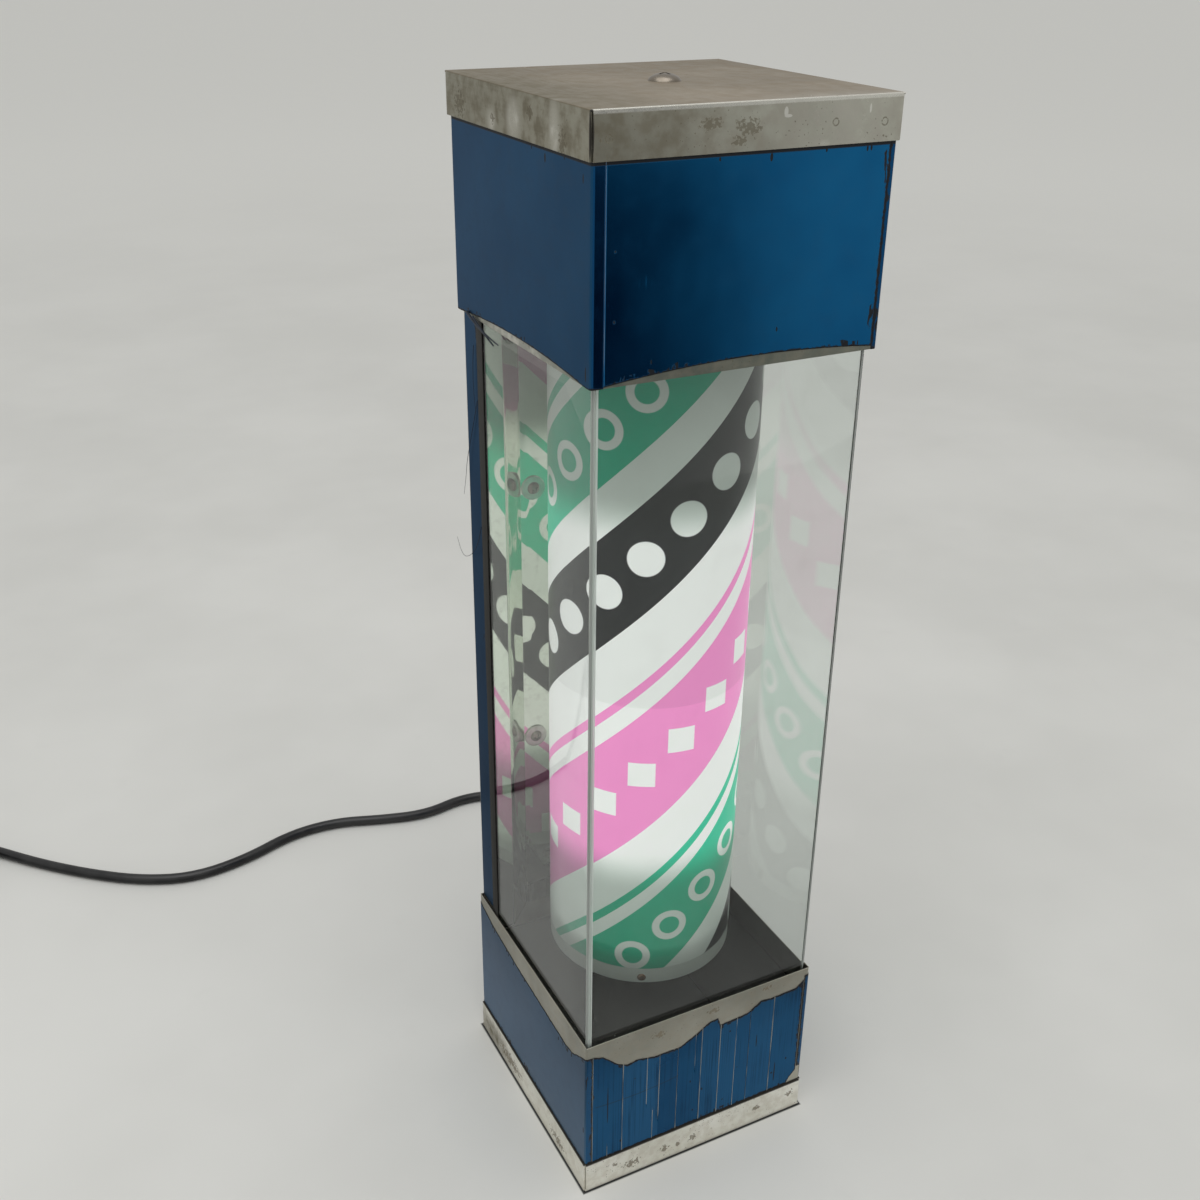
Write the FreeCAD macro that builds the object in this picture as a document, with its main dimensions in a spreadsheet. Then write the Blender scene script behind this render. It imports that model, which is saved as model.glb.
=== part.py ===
import FreeCAD, Part
import math
import os
import re
import Sketcher

# Barber pole: a square column of stainless sheet with a lit, turning drum behind a clear window.
# Millimetres, +Z up, origin at the bottom centre of the base tray, the front face towards -Y.

doc = FreeCAD.newDocument("BarberPole")
kept = []

# Driving dimensions. Front and back are distances from the drum's axis along Y, half is along X.
sizes = {
    "sheetThick": 1.0,
    "filmThick": 0.2,
    "cornerGap": 1.2,
    "skirtHalf": 75.0,
    "skirtDepth": 76.0,
    "skirtTop": 21.0,
    "lowerHalf": 74.0,
    "lowerDepth": 75.0,
    "lowerTop": 110.0,
    "upperHalf": 75.0,
    "upperFront": 76.0,
    "upperBack": 75.0,
    "upperFoot": 486.0,
    "filmTop": 585.0,
    "filmGap": 0.5,
    "lowerWrapLeft": 4.0,
    "lowerWrapRight": 3.0,
    "lowerWrapTop": 105.4,
    "capHalf": 76.5,
    "capDepth": 77.5,
    "capFoot": 580.0,
    "capTop": 600.0,
    "frontWrap": 6.0,
    "rightWrap": 3.0,
    "frontArchX": 6.0,
    "frontArchRise": 5.2,
    "frontArchRadius": 631.0,
    "sideArchRise": 2.4,
    "sideArchRadius": 1022.0,
    "ledgeTop": 92.0,
    "ledgeHalf": 60.0,
    "ledgeDrop": 10.0,
    "ledgeBack": 55.5,
    "deckThick": 1.2,
    "deckHalf": 69.4,
    "deckFront": 70.6,
    "deckBack": 55.0,
    "deckSeam": 16.0,
    "deckGap": 0.4,
    "windowHalf": 72.2,
    "windowFront": 73.0,
    "windowBack": 55.4,
    "windowTop": 500.0,
    "paneThick": 2.0,
    "paneBend": 2.5,
    "channelWall": 0.6,
    "channelFront": 49.5,
    "spineHalf": 72.0,
    "spineFront": 57.0,
    "spineBack": 74.0,
    "spineLip": 10.0,
    "spineFoot": 60.0,
    "spineTop": 572.0,
    "mirrorThick": 0.8,
    "mirrorHalf": 69.4,
    "mirrorLip": 57.5,
    "mirrorFlat": 41.5,
    "mirrorFoot": 93.4,
    "mirrorScrewX": 34.0,
    "mirrorScrewLow": 219.0,
    "mirrorScrewHigh": 381.0,
    "washerRadius": 7.0,
    "washerThick": 1.0,
    "drumRadius": 52.9,
    "drumWall": 1.5,
    "drumFoot": 116.0,
    "drumTop": 505.0,
    "printFoot": 126.5,
    "printTop": 497.0,
    "fitGap": 0.05,
    "hoopWall": 1.5,
    "hoopHigh": 8.0,
    "rivetLow": 120.0,
    "rivetHigh": 501.5,
    "rivetRadius": 1.5,
    "rivetHead": 2.6,
    "rivetHeadTop": 1.7,
    "rivetHeadHigh": 0.8,
    "spiderFoot": 497.0,
    "spiderThick": 1.2,
    "spiderHole": 9.0,
    "spiderHoleAt": 33.0,
    "hubFlange": 16.0,
    "hubFlangeThick": 2.0,
    "hubRadius": 8.0,
    "hubTop": 510.0,
    "hubScrewAt": 12.0,
    "shaftRadius": 3.0,
    "shaftFoot": 499.0,
    "shaftTop": 523.5,
    "bushRadius": 5.0,
    "bushFoot": 512.5,
    "bushTop": 518.5,
    "plateFoot": 514.8,
    "plateThick": 1.2,
    "plateDrop": 11.8,
    "motorFoot": 516.0,
    "motorBase": 1.5,
    "motorRadius": 29.5,
    "motorTop": 542.0,
    "motorEarHalf": 40.0,
    "motorEarWide": 14.0,
    "motorScrewAt": 35.0,
    "gearOffset": 15.0,
    "wheelPitch": 12.0,
    "pinionPitch": 3.0,
    "toothTip": 0.45,
    "toothRoot": 0.6,
    "driveGearFoot": 519.5,
    "driveGearThick": 3.0,
    "idlerFoot": 518.5,
    "idlerWheelFoot": 525.0,
    "idlerWheelThick": 2.5,
    "rotorFoot": 524.8,
    "rotorDiscFoot": 529.0,
    "rotorDiscTop": 538.5,
    "rotorRadius": 15.5,
    "pinRadius": 1.0,
    "coilInner": 16.2,
    "coilOuter": 28.3,
    "coilFoot": 529.5,
    "coilTop": 540.5,
    "bridgeFoot": 590.0,
    "bridgeThick": 1.2,
    "bridgeHalfWide": 12.0,
    "bridgeDrop": 10.0,
    "capScrewHead": 7.75,
    "capScrewHigh": 3.4,
    "capScrewShank": 2.95,
    "capScrewFoot": 583.0,
    "capScrewPlay": 0.35,
    "capSlotHalf": 4.0,
    "capSlotHalfWide": 0.6,
    "nutThick": 5.0,
    "nutFlatHalf": 5.0,
    "bracketHalf": 15.0,
    "bracketFront": 16.0,
    "bracketBack": 26.0,
    "bracketTop": 430.0,
    "bracketFlangeFoot": 102.0,
    "bracketFootBack": 44.0,
    "bracketScrewX": 8.0,
    "bracketScrewIn": 8.0,
    "lampRadius": 8.0,
    "lampFoot": 193.0,
    "lampTop": 405.0,
    "lampCapLong": 9.0,
    "lampPinRadius": 1.1,
    "lampPinLong": 6.5,
    "lampPinAt": 2.5,
    "holderHalf": 11.0,
    "holderFront": 10.0,
    "holderHigh": 16.0,
    "ballastLeft": 66.0,
    "ballastRight": 28.0,
    "ballastFront": 30.0,
    "ballastBack": 30.0,
    "ballastHigh": 34.0,
    "ballastEar": 9.0,
    "ballastFoot": 1.5,
    "starterX": 44.0,
    "starterY": 30.0,
    "starterRadius": 10.75,
    "starterHigh": 36.0,
    "socketHalf": 13.0,
    "socketHigh": 12.0,
    "blockHalf": 20.0,
    "blockFront": 2.0,
    "blockBack": 27.0,
    "blockHigh": 16.0,
    "leadRadius": 1.5,
    "leadPlay": 1.0,
    "lowerLeadX": -8.0,
    "lowerLeadY": 6.0,
    "upperLeadBack": 22.0,
    "upperLeadFront": 10.0,
    "mainsStubRadius": 2.5,
    "motorLeadRadius": 2.0,
    "screwHead": 3.6,
    "screwHigh": 2.2,
    "screwShank": 2.0,
    "screwHole": 2.1,
    "cutLong": 10.0,
    "housingScrewX": 45.0,
    "housingScrewLow": 75.0,
    "housingScrewHigh": 555.0,
    "glandX": 40.0,
    "glandHigh": 38.0,
    "glandNeck": 6.5,
    "glandFlange": 9.5,
    "glandFlangeThick": 3.0,
    "glandNutThick": 4.0,
    "glandTaper": 7.0,
    "glandWall": 1.0,
    "glandEnd": 109.0,
    "cordRadius": 3.75,
    "coilRadius": 51.0,
    "coilPitch": 8.1,
    "tieThick": 0.9,
    "tieWide": 8.0,
    "tieSlack": 0.4,
    "plugHalfWide": 12.0,
    "plugHalfThick": 8.0,
    "plugLong": 34.0,
    "plugNeckLong": 20.0,
    "plugFillet": 5.0,
    "tailLong": 46.0,
    "pinWide": 6.3,
    "pinThick": 1.5,
    "pinLong": 17.0,
    "pinSpacing": 12.7,
}

sheet = doc.addObject("Spreadsheet::Sheet", "Sizes")
for row, (name, value) in enumerate(sizes.items(), 1):
    sheet.set("A%d" % row, name)
    sheet.set("B%d" % row, str(value))
    sheet.setAlias("B%d" % row, name)
doc.recompute()

# Ways that a bar, a screw or a washer can point, turned from +Z
headings = {
    "up": FreeCAD.Rotation(),
    "down": FreeCAD.Rotation(FreeCAD.Vector(1, 0, 0), 180),
    "front": FreeCAD.Rotation(FreeCAD.Vector(1, 0, 0), 90),
    "back": FreeCAD.Rotation(FreeCAD.Vector(1, 0, 0), -90),
    "right": FreeCAD.Rotation(FreeCAD.Vector(0, 1, 0), 90),
}


def bound(text):
    # Every driving dimension in a sum is read from the sheet
    def reference(word):
        return "Sizes." + word.group() if word.group() in sizes else word.group()

    return re.sub(r"[A-Za-z]\w*", reference, str(text))


def placeAt(piece, place, turn=None):
    if turn is not None:
        piece.Placement = FreeCAD.Placement(FreeCAD.Vector(), turn)
    for axis, text in zip("xyz", place):
        piece.setExpression("Placement.Base." + axis, bound(text))
    return piece


def block(name, low, size):
    box = doc.addObject("Part::Box", name)
    for side, text in zip(("Length", "Width", "Height"), size):
        box.setExpression(side, bound(text))
    return placeAt(box, low)


def rod(name, radius, length, foot, heading="up"):
    bar = doc.addObject("Part::Cylinder", name)
    bar.setExpression("Radius", bound(radius))
    bar.setExpression("Height", bound(length))
    return placeAt(bar, foot, headings[heading])


def cone(name, footRadius, topRadius, length, foot, heading="up"):
    taper = doc.addObject("Part::Cone", name)
    taper.setExpression("Radius1", bound(footRadius))
    taper.setExpression("Radius2", bound(topRadius))
    taper.setExpression("Height", bound(length))
    return placeAt(taper, foot, headings[heading])


def aroundDrum(piece, distance, angle, height):
    # A piece on a spoke of the drum, pointing outwards
    turn = FreeCAD.Rotation(FreeCAD.Vector(0, 0, 1), angle) * headings["right"]
    across = "(%s) * cos(%s deg)" % (distance, angle)
    along = "(%s) * sin(%s deg)" % (distance, angle)
    return placeAt(piece, (across, along, height), turn)


def joined(name, pieces):
    whole = doc.addObject("Part::MultiFuse", name)
    whole.Shapes = pieces
    return whole


def lessBy(name, base, tools):
    cut = doc.addObject("Part::Cut", name)
    cut.Base = base
    cut.Tool = tools[0] if len(tools) == 1 else joined(name + "_tools", tools)
    return cut


def group(name, pieces):
    together = doc.addObject("Part::Compound", name)
    together.Links = pieces
    return together


def keep(piece, label=None):
    piece.Label = label or piece.Name
    kept.append(piece)
    return piece


def sketchIn(body, role, rise="0"):
    plane = [feature for feature in body.Origin.OriginFeatures if feature.Role == role][0]
    sketch = body.newObject("Sketcher::SketchObject", body.Name + "_sketch")
    sketch.AttachmentSupport = [(plane, "")]
    sketch.MapMode = "FlatFace"
    sketch.setExpression("AttachmentOffset.Base.z", bound(rise))
    return sketch


def drawLoop(sketch, outline):
    # A closed outline whose corners are held at sums of driving dimensions
    first = sketch.GeometryCount
    count = len(outline)
    spots = []
    for number in range(count):
        angle = 2 * math.pi * number / count
        spots.append(FreeCAD.Vector(10 * math.cos(angle), 10 * math.sin(angle), 0))
    for number in range(count):
        sketch.addGeometry(Part.LineSegment(spots[number], spots[(number + 1) % count]))
    for number in range(count):
        following = first + (number + 1) % count
        sketch.addConstraint(Sketcher.Constraint("Coincident", first + number, 2, following, 1))
    for number, (across, along) in enumerate(outline):
        rough = spots[number]
        for kind, text, guess in (("DistanceX", across, rough.x), ("DistanceY", along, rough.y)):
            constraint = Sketcher.Constraint(kind, -1, 1, first + number, 1, guess)
            index = sketch.addConstraint(constraint)
            sketch.setExpression("Constraints[%d]" % index, bound(text))


def drawCircle(sketch, radius, place=("0", "0")):
    centre = FreeCAD.Vector(1, 1, 0)
    ring = sketch.addGeometry(Part.Circle(centre, FreeCAD.Vector(0, 0, 1), 1))
    for kind, text in (("DistanceX", place[0]), ("DistanceY", place[1])):
        index = sketch.addConstraint(Sketcher.Constraint(kind, -1, 1, ring, 3, 1))
        sketch.setExpression("Constraints[%d]" % index, bound(text))
    index = sketch.addConstraint(Sketcher.Constraint("Radius", ring, 1))
    sketch.setExpression("Constraints[%d]" % index, bound(radius))


def addPad(body, role, rise, outline, thick):
    sketch = sketchIn(body, role, rise)
    drawLoop(sketch, outline)
    pad = body.newObject("PartDesign::Pad", body.Name + "_pad")
    pad.Profile = sketch
    pad.setExpression("Length", bound(thick))
    return pad


def padded(name, role, rise, outline, thick):
    body = doc.addObject("PartDesign::Body", name)
    addPad(body, role, rise, outline, thick)
    return body


def turned(name, outline):
    # A solid of revolution about Z, its outline in the XZ plane
    body = doc.addObject("PartDesign::Body", name)
    sketch = sketchIn(body, "XZ_Plane")
    drawLoop(sketch, outline)
    turning = body.newObject("PartDesign::Revolution", name + "_turning")
    turning.Profile = sketch
    turning.ReferenceAxis = (sketch, ["V_Axis"])
    turning.Angle = 360
    return body


def pocketed(body, sketch, depth):
    # Cuts from the sketch down into the solid, and makes sure that something was cut
    doc.recompute()
    before = body.Shape.Volume
    pocket = body.newObject("PartDesign::Pocket", body.Name + "_pocket")
    pocket.Profile = sketch
    pocket.setExpression("Length", bound(depth))
    doc.recompute()
    if body.Shape.Volume >= before:
        raise SystemExit("the pocket in %s cuts nothing" % body.Name)
    return pocket


def filleted(body, radius, chosen):
    # Rounds the edges of the solid so far that the chosen test picks
    doc.recompute()
    base = body.Tip
    names = ["Edge%d" % number for number, edge in enumerate(base.Shape.Edges, 1) if chosen(edge)]
    rounding = body.newObject("PartDesign::Fillet", body.Name + "_fillet")
    rounding.Base = (base, names)
    rounding.setExpression("Radius", bound(radius))
    doc.recompute()
    return rounding


def copies(name, master, places):
    # Identical fasteners in one piece list entry: each place is three sums and a rotation
    links = []
    for number, (place, turn) in enumerate(places, 1):
        link = doc.addObject("App::Link", "%s_%d" % (name, number))
        link.LinkedObject = master
        links.append(placeAt(link, place, turn))
    return group(name, links)


def sleeve(name, half, front, back, foot, top):
    # A square sleeve of sheet, open at both ends
    tall = "%s - %s" % (top, foot)
    deep = "%s + %s" % (front, back)
    outer = block(name + "_outer", ("-" + half, "-" + front, foot), ("2 * " + half, deep, tall))
    low = ("-%s + sheetThick" % half, "-%s + sheetThick" % front, foot + " - 1")
    size = ("2 * (%s - sheetThick)" % half, deep + " - 2 * sheetThick", tall + " + 2")
    return outer, block(name + "_hollow", low, size)


def backHole(name, radius, side, back, height):
    # A cutting rod through a back face
    return rod(name, radius, "cutLong", (side, back + " - cutLong / 2", height), "back")


def backScrewHoles(name, back, height):
    return [backHole(name, "screwHole", side, back, height) for side in ("-housingScrewX", "housingScrewX")]


def foldedTray(name, half, depth, foot, top, plateAbove):
    # A tray folded from one sheet: four flanges round a plate, with an open gap at each corner
    tall = "%s - %s" % (top, foot)
    outer = block(name + "_outer", ("-" + half, "-" + depth, foot), ("2 * " + half, "2 * " + depth, tall))
    inner = "%s - 1" % foot if plateAbove else "%s + sheetThick" % foot
    size = ("2 * (%s - sheetThick)" % half, "2 * (%s - sheetThick)" % depth, tall + " - sheetThick + 1")
    tools = [block(name + "_hollow", ("-%s + sheetThick" % half, "-%s + sheetThick" % depth, inner), size)]
    notch = ("cornerGap + 1", "cornerGap + 1", tall + " - sheetThick + 1")
    for across in ("-%s - 1" % half, "%s - cornerGap" % half):
        for along in ("-%s - 1" % depth, "%s - cornerGap" % depth):
            corner = "%s_corner_%d" % (name, len(tools))
            tools.append(block(corner, (across, along, inner), notch))
    return outer, tools


# Base tray, which the column stands on
trayOuter, trayTools = foldedTray("base_tray", "skirtHalf", "skirtDepth", "0", "skirtTop", False)
keep(lessBy("base_tray", trayOuter, trayTools), "base_tray")

# Lower housing, with the gland's hole and two screw holes in its back
lowerSleeve = ("lowerHalf", "lowerDepth", "lowerDepth", "sheetThick", "lowerTop")
lowerOuter, lowerHollow = sleeve("lower_housing", *lowerSleeve)
lowerTools = [lowerHollow, backHole("lower_gland_hole", "glandNeck", "glandX", "lowerDepth", "glandHigh")]
lowerTools += backScrewHoles("lower_screw_hole", "lowerDepth", "housingScrewLow")
keep(lessBy("lower_housing", lowerOuter, lowerTools), "lower_housing")

# Film on the lower housing's front, torn along its top: distance from the axis, height
tornFront = [
    (71.0, 102.5),
    (65.4, 97.7),
    (48.4, 97.0),
    (40.9, 98.0),
    (32.0, 92.1),
    (13.3, 91.0),
    (11.5, 97.0),
    (5.2, 96.2),
    (-1.2, 91.8),
    (-13.1, 85.6),
    (-30.6, 85.8),
    (-42.0, 88.7),
    (-48.0, 87.3),
    (-54.0, 90.6),
    (-63.4, 99.9),
    ("-lowerHalf + lowerWrapLeft", 102.0),
]
frontFoot = [("-lowerHalf + lowerWrapLeft", "skirtTop"), ("lowerHalf - lowerWrapRight", "skirtTop")]
frontFilm = frontFoot + tornFront
keep(padded("lower_film_front", "XZ_Plane", "lowerDepth", frontFilm, "filmThick"))


def wrapOutline(half, front, back, leftWrap, rightWrap):
    # Film round the left, back and right faces, turned a little way onto the front
    outerHalf = half + " + filmThick"
    outerBack = back + " + filmThick"
    outerFront = "-%s - filmThick" % front
    return [
        ("-%s + %s" % (half, leftWrap), outerFront),
        ("-" + outerHalf.replace("+", "-"), outerFront),
        ("-" + outerHalf.replace("+", "-"), outerBack),
        (outerHalf, outerBack),
        (outerHalf, outerFront),
        ("%s - %s" % (half, rightWrap), outerFront),
        ("%s - %s" % (half, rightWrap), "-" + front),
        (half, "-" + front),
        (half, back),
        ("-" + half, back),
        ("-" + half, "-" + front),
        ("-%s + %s" % (half, leftWrap), "-" + front),
    ]


# Film round the lower housing's other faces, torn along the left face's top
lowerWrap = wrapOutline("lowerHalf", "lowerDepth", "lowerDepth", "lowerWrapLeft", "lowerWrapRight")
lowerWrapBody = padded("lower_wrap_body", "XY_Plane", "skirtTop", lowerWrap, "lowerWrapTop - skirtTop")
tornLeft = [
    (76.5, "lowerWrapTop"),
    (70.0, 103.0),
    (53.8, 99.0),
    (17.1, 95.2),
    (-21.1, 93.2),
    (-49.8, 91.6),
    (-57.0, 92.7),
    (-70.2, 100.1),
    (-76.5, 103.0),
    (-76.5, 107.0),
    (76.5, 107.0),
]
tornAway = padded("lower_wrap_torn", "YZ_Plane", "-lowerHalf - 2", tornLeft, "lowerWrapLeft + 4")
wrapTools = [tornAway, backHole("lower_wrap_gland_hole", "glandNeck", "glandX", "lowerDepth", "glandHigh")]
wrapTools += backScrewHoles("lower_wrap_screw_hole", "lowerDepth", "housingScrewLow")
keep(lessBy("lower_film_wrap", lowerWrapBody, wrapTools), "lower_film_wrap")


def threeSides(half, front, back, inset):
    # A U in plan, open at the back
    return [
        ("-" + half, back),
        ("-" + half, "-" + front),
        (half, "-" + front),
        (half, back),
        ("%s - %s" % (half, inset), back),
        ("%s - %s" % (half, inset), "-%s + %s" % (front, inset)),
        ("-%s + %s" % (half, inset), "-%s + %s" % (front, inset)),
        ("-%s + %s" % (half, inset), back),
    ]


# Ledge frame inside the lower housing: it carries the window and the deck
innerHalf = "(lowerHalf - sheetThick)"
innerDepth = "(lowerDepth - sheetThick)"
ledge = threeSides(innerHalf, innerDepth, "ledgeBack", "(lowerHalf - sheetThick - ledgeHalf)")
frame = padded("ledge_frame", "XY_Plane", "ledgeTop - sheetThick", ledge, "sheetThick")
flange = threeSides(innerHalf, innerDepth, "ledgeBack", "sheetThick")
addPad(frame, "XY_Plane", "ledgeTop - sheetThick - ledgeDrop", flange, "ledgeDrop")
keep(frame)

# Deck plate with its holes for the leads and the lamp bracket's screws, and the deck cover beside it
deckSize = ("deckHalf + deckSeam", "deckFront + deckBack", "deckThick")
deck = block("deck_blank", ("-deckHalf", "-deckFront", "ledgeTop"), deckSize)


def underDeck(name, radius, across, along):
    # A cutting rod through the deck plate or the foot on it
    return rod(name, radius, "cutLong", (across, along, "ledgeTop - cutLong / 2"))


bracketScrewY = "bracketFootBack - bracketScrewIn"
bracketScrewSpots = [("-bracketScrewX", bracketScrewY), ("bracketScrewX", bracketScrewY)]
deckHoles = [
    underDeck("deck_lower_lead_hole", "leadRadius + leadPlay", "lowerLeadX", "lowerLeadY"),
    underDeck("deck_upper_lead_hole", "leadRadius + leadPlay", "0", "upperLeadBack"),
]
for spot in bracketScrewSpots:
    deckHoles.append(underDeck("deck_screw_hole", "screwHole", *spot))
keep(lessBy("deck_plate", deck, deckHoles), "deck_plate")
coverLow = ("deckSeam + deckGap", "-deckFront", "ledgeTop")
keep(block("deck_cover", coverLow, ("deckHalf - deckSeam - deckGap", "deckFront + deckBack", "deckThick")))

# Window: one clear sheet bent into a U
windowOutline = threeSides("windowHalf", "windowFront", "windowBack", "paneThick")
window = padded("window", "XY_Plane", "ledgeTop", windowOutline, "windowTop - ledgeTop")


def uprightAt(half, front):
    # Picks the upright edges at the two front corners
    def chosen(edge):
        box = edge.BoundBox
        thin = box.XLength < 0.01 and box.YLength < 0.01
        return thin and abs(abs(box.XMin) - half) < 0.01 and abs(box.YMin + front) < 0.01

    return chosen


filleted(window, "paneBend", uprightAt(sizes["windowHalf"], sizes["windowFront"]))
paneInside = (sizes["windowHalf"] - sizes["paneThick"], sizes["windowFront"] - sizes["paneThick"])
filleted(window, "paneBend - paneThick", uprightAt(*paneInside))
keep(window)

# Black channels that grip the window's back edges
for side, sign in (("left", "-"), ("right", "")):
    outside = sign + "(windowHalf + channelWall)"
    paneOutside = sign + "windowHalf"
    paneWithin = sign + "(windowHalf - paneThick)"
    inside = sign + "(windowHalf - paneThick - channelWall)"
    channel = [
        (outside, "channelFront"),
        (outside, "spineFront"),
        (inside, "spineFront"),
        (inside, "channelFront"),
        (paneWithin, "channelFront"),
        (paneWithin, "spineFront - channelWall"),
        (paneOutside, "spineFront - channelWall"),
        (paneOutside, "channelFront"),
    ]
    keep(padded("window_channel_" + side, "XY_Plane", "ledgeTop", channel, "windowTop - ledgeTop"))

# Spine: the folded back channel that joins the two housings
spineOutline = [
    ("-spineHalf + spineLip", "spineFront"),
    ("-spineHalf", "spineFront"),
    ("-spineHalf", "spineBack"),
    ("spineHalf", "spineBack"),
    ("spineHalf", "spineFront"),
    ("spineHalf - spineLip", "spineFront"),
    ("spineHalf - spineLip", "spineFront + sheetThick"),
    ("spineHalf - sheetThick", "spineFront + sheetThick"),
    ("spineHalf - sheetThick", "spineBack - sheetThick"),
    ("-spineHalf + sheetThick", "spineBack - sheetThick"),
    ("-spineHalf + sheetThick", "spineFront + sheetThick"),
    ("-spineHalf + spineLip", "spineFront + sheetThick"),
]
spineBlank = padded("spine_blank", "XY_Plane", "spineFoot", spineOutline, "spineTop - spineFoot")
spineHoles = []
for side in ("-housingScrewX", "housingScrewX"):
    for height in ("housingScrewLow", "housingScrewHigh"):
        spineHoles.append(backHole("spine_screw_hole", "screwHole", side, "spineBack", height))
mirrorScrewPlaces = []
for side in ("-mirrorScrewX", "mirrorScrewX"):
    for height in ("mirrorScrewLow", "mirrorScrewHigh"):
        mirrorScrewPlaces.append((side, height))
for side, height in mirrorScrewPlaces:
    spineHoles.append(backHole("spine_mirror_hole", "screwHole", side, "spineBack", height))
keep(lessBy("spine", spineBlank, spineHoles), "spine")

# Film round the spine between the housings
spineFilm = [
    ("-spineHalf - filmThick", "spineFront"),
    ("-spineHalf - filmThick", "spineBack + filmThick"),
    ("spineHalf + filmThick", "spineBack + filmThick"),
    ("spineHalf + filmThick", "spineFront"),
    ("spineHalf", "spineFront"),
    ("spineHalf", "spineBack"),
    ("-spineHalf", "spineBack"),
    ("-spineHalf", "spineFront"),
]
spineFilmHigh = "upperFoot - lowerTop - 2 * filmGap"
keep(padded("spine_film", "XY_Plane", "lowerTop + filmGap", spineFilm, spineFilmHigh))

# Reflector: a folded mirror sheet in front of the spine, its slanted folds at 45 degrees
mirrorFront = "spineFront - mirrorThick"
mirrorBack = "spineBack - sheetThick"
foldShift = "0.414 * mirrorThick"
reflectorOutline = [
    ("-mirrorHalf", mirrorFront),
    ("-mirrorLip", mirrorFront),
    ("-mirrorFlat", mirrorBack + " - mirrorThick"),
    ("mirrorFlat", mirrorBack + " - mirrorThick"),
    ("mirrorLip", mirrorFront),
    ("mirrorHalf", mirrorFront),
    ("mirrorHalf", "spineFront"),
    ("mirrorLip - " + foldShift, "spineFront"),
    ("mirrorFlat - " + foldShift, mirrorBack),
    ("-mirrorFlat + " + foldShift, mirrorBack),
    ("-mirrorLip + " + foldShift, "spineFront"),
    ("-mirrorHalf", "spineFront"),
]
mirrorHigh = "windowTop - mirrorFoot"
reflectorBlank = padded("reflector_blank", "XY_Plane", "mirrorFoot", reflectorOutline, mirrorHigh)
reflectorHoles = []
for side, height in mirrorScrewPlaces:
    reflectorHoles.append(backHole("reflector_hole", "screwHole", side, mirrorBack, height))
keep(lessBy("reflector", reflectorBlank, reflectorHoles), "reflector")


def panScrew(name, headRadius, headHigh, shankRadius, shankLong):
    # Pan head above Z = 0 with a cross recess, shank below
    screw = turned(
        name,
        [
            ("0", headHigh),
            (headRadius, headHigh),
            (headRadius, "0"),
            (shankRadius, "0"),
            (shankRadius, "-(%s)" % shankLong),
            ("0", "-(%s)" % shankLong),
        ],
    )
    doc.recompute()
    high = screw.Shape.BoundBox.ZMax
    filleted(screw, "0.7 * " + headHigh, lambda edge: edge.BoundBox.ZMin > high - 0.01)
    arm = "0.55 * " + headRadius
    slot = "0.13 * " + headRadius
    recess = sketchIn(screw, "XY_Plane", headHigh)
    cross = []
    for first, second in (("-", "-"), ("", "-"), ("", ""), ("-", "")):
        upright = (first + slot, second + arm)
        corner = (first + slot, second + slot)
        level = (first + arm, second + slot)
        cross += [upright, corner, level] if first != second else [level, corner, upright]
    drawLoop(recess, cross)
    pocketed(screw, recess, "0.6 * " + headHigh)
    return screw


# Reflector screws and the washers under their heads
mirrorGrip = "washerThick + mirrorThick + sheetThick"
mirrorScrew = panScrew("mirror_screw_master", "screwHead", "screwHigh", "screwShank", mirrorGrip)
washerOuter = rod("washer_outer", "washerRadius", "washerThick", ("0", "0", "0"))
washerBore = rod("washer_bore", "screwHole", "cutLong", ("0", "0", "-cutLong / 2"))
washer = lessBy("washer_master", washerOuter, [washerBore])
screwPlaces = []
washerPlaces = []
for side, height in mirrorScrewPlaces:
    screwPlaces.append(((side, mirrorBack + " - mirrorThick - washerThick", height), headings["front"]))
    washerPlaces.append(((side, mirrorBack + " - mirrorThick", height), headings["front"]))
keep(copies("reflector_screws", mirrorScrew, screwPlaces))
keep(copies("reflector_washers", washer, washerPlaces))

# Upper housing with two screw holes in its back
upperSleeve = ("upperHalf", "upperFront", "upperBack", "upperFoot", "capTop - sheetThick")
upperOuter, upperHollow = sleeve("upper_housing", *upperSleeve)
upperTools = [upperHollow] + backScrewHoles("upper_screw_hole", "upperBack", "housingScrewHigh")
keep(lessBy("upper_housing", upperOuter, upperTools), "upper_housing")

# Film on the upper housing, its lower edges arched
frontLow = ("-upperHalf + frontWrap", "-upperFront - filmThick", "upperFoot")
frontSize = ("2 * upperHalf - frontWrap - rightWrap", "filmThick", "filmTop - upperFoot")
archFoot = ("frontArchX", "-upperFront + cutLong / 2", "upperFoot + frontArchRise - frontArchRadius")
frontArch = rod("front_film_arch", "frontArchRadius", "cutLong", archFoot, "front")
frontBlank = block("front_film_blank", frontLow, frontSize)
keep(lessBy("upper_film_front", frontBlank, [frontArch]), "upper_film_front")
upperWrap = wrapOutline("upperHalf", "upperFront", "upperBack", "frontWrap", "rightWrap")
upperWrapBody = padded("upper_wrap_body", "XY_Plane", "upperFoot", upperWrap, "filmTop - upperFoot")
archFoot = ("-upperHalf - cutLong / 2", "0", "upperFoot + sideArchRise - sideArchRadius")
upperWrapTools = [rod("side_film_arch", "sideArchRadius", "2 * upperHalf + cutLong", archFoot, "right")]
upperWrapTools += backScrewHoles("upper_wrap_screw_hole", "upperBack", "housingScrewHigh")
keep(lessBy("upper_film_wrap", upperWrapBody, upperWrapTools), "upper_film_wrap")

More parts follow.
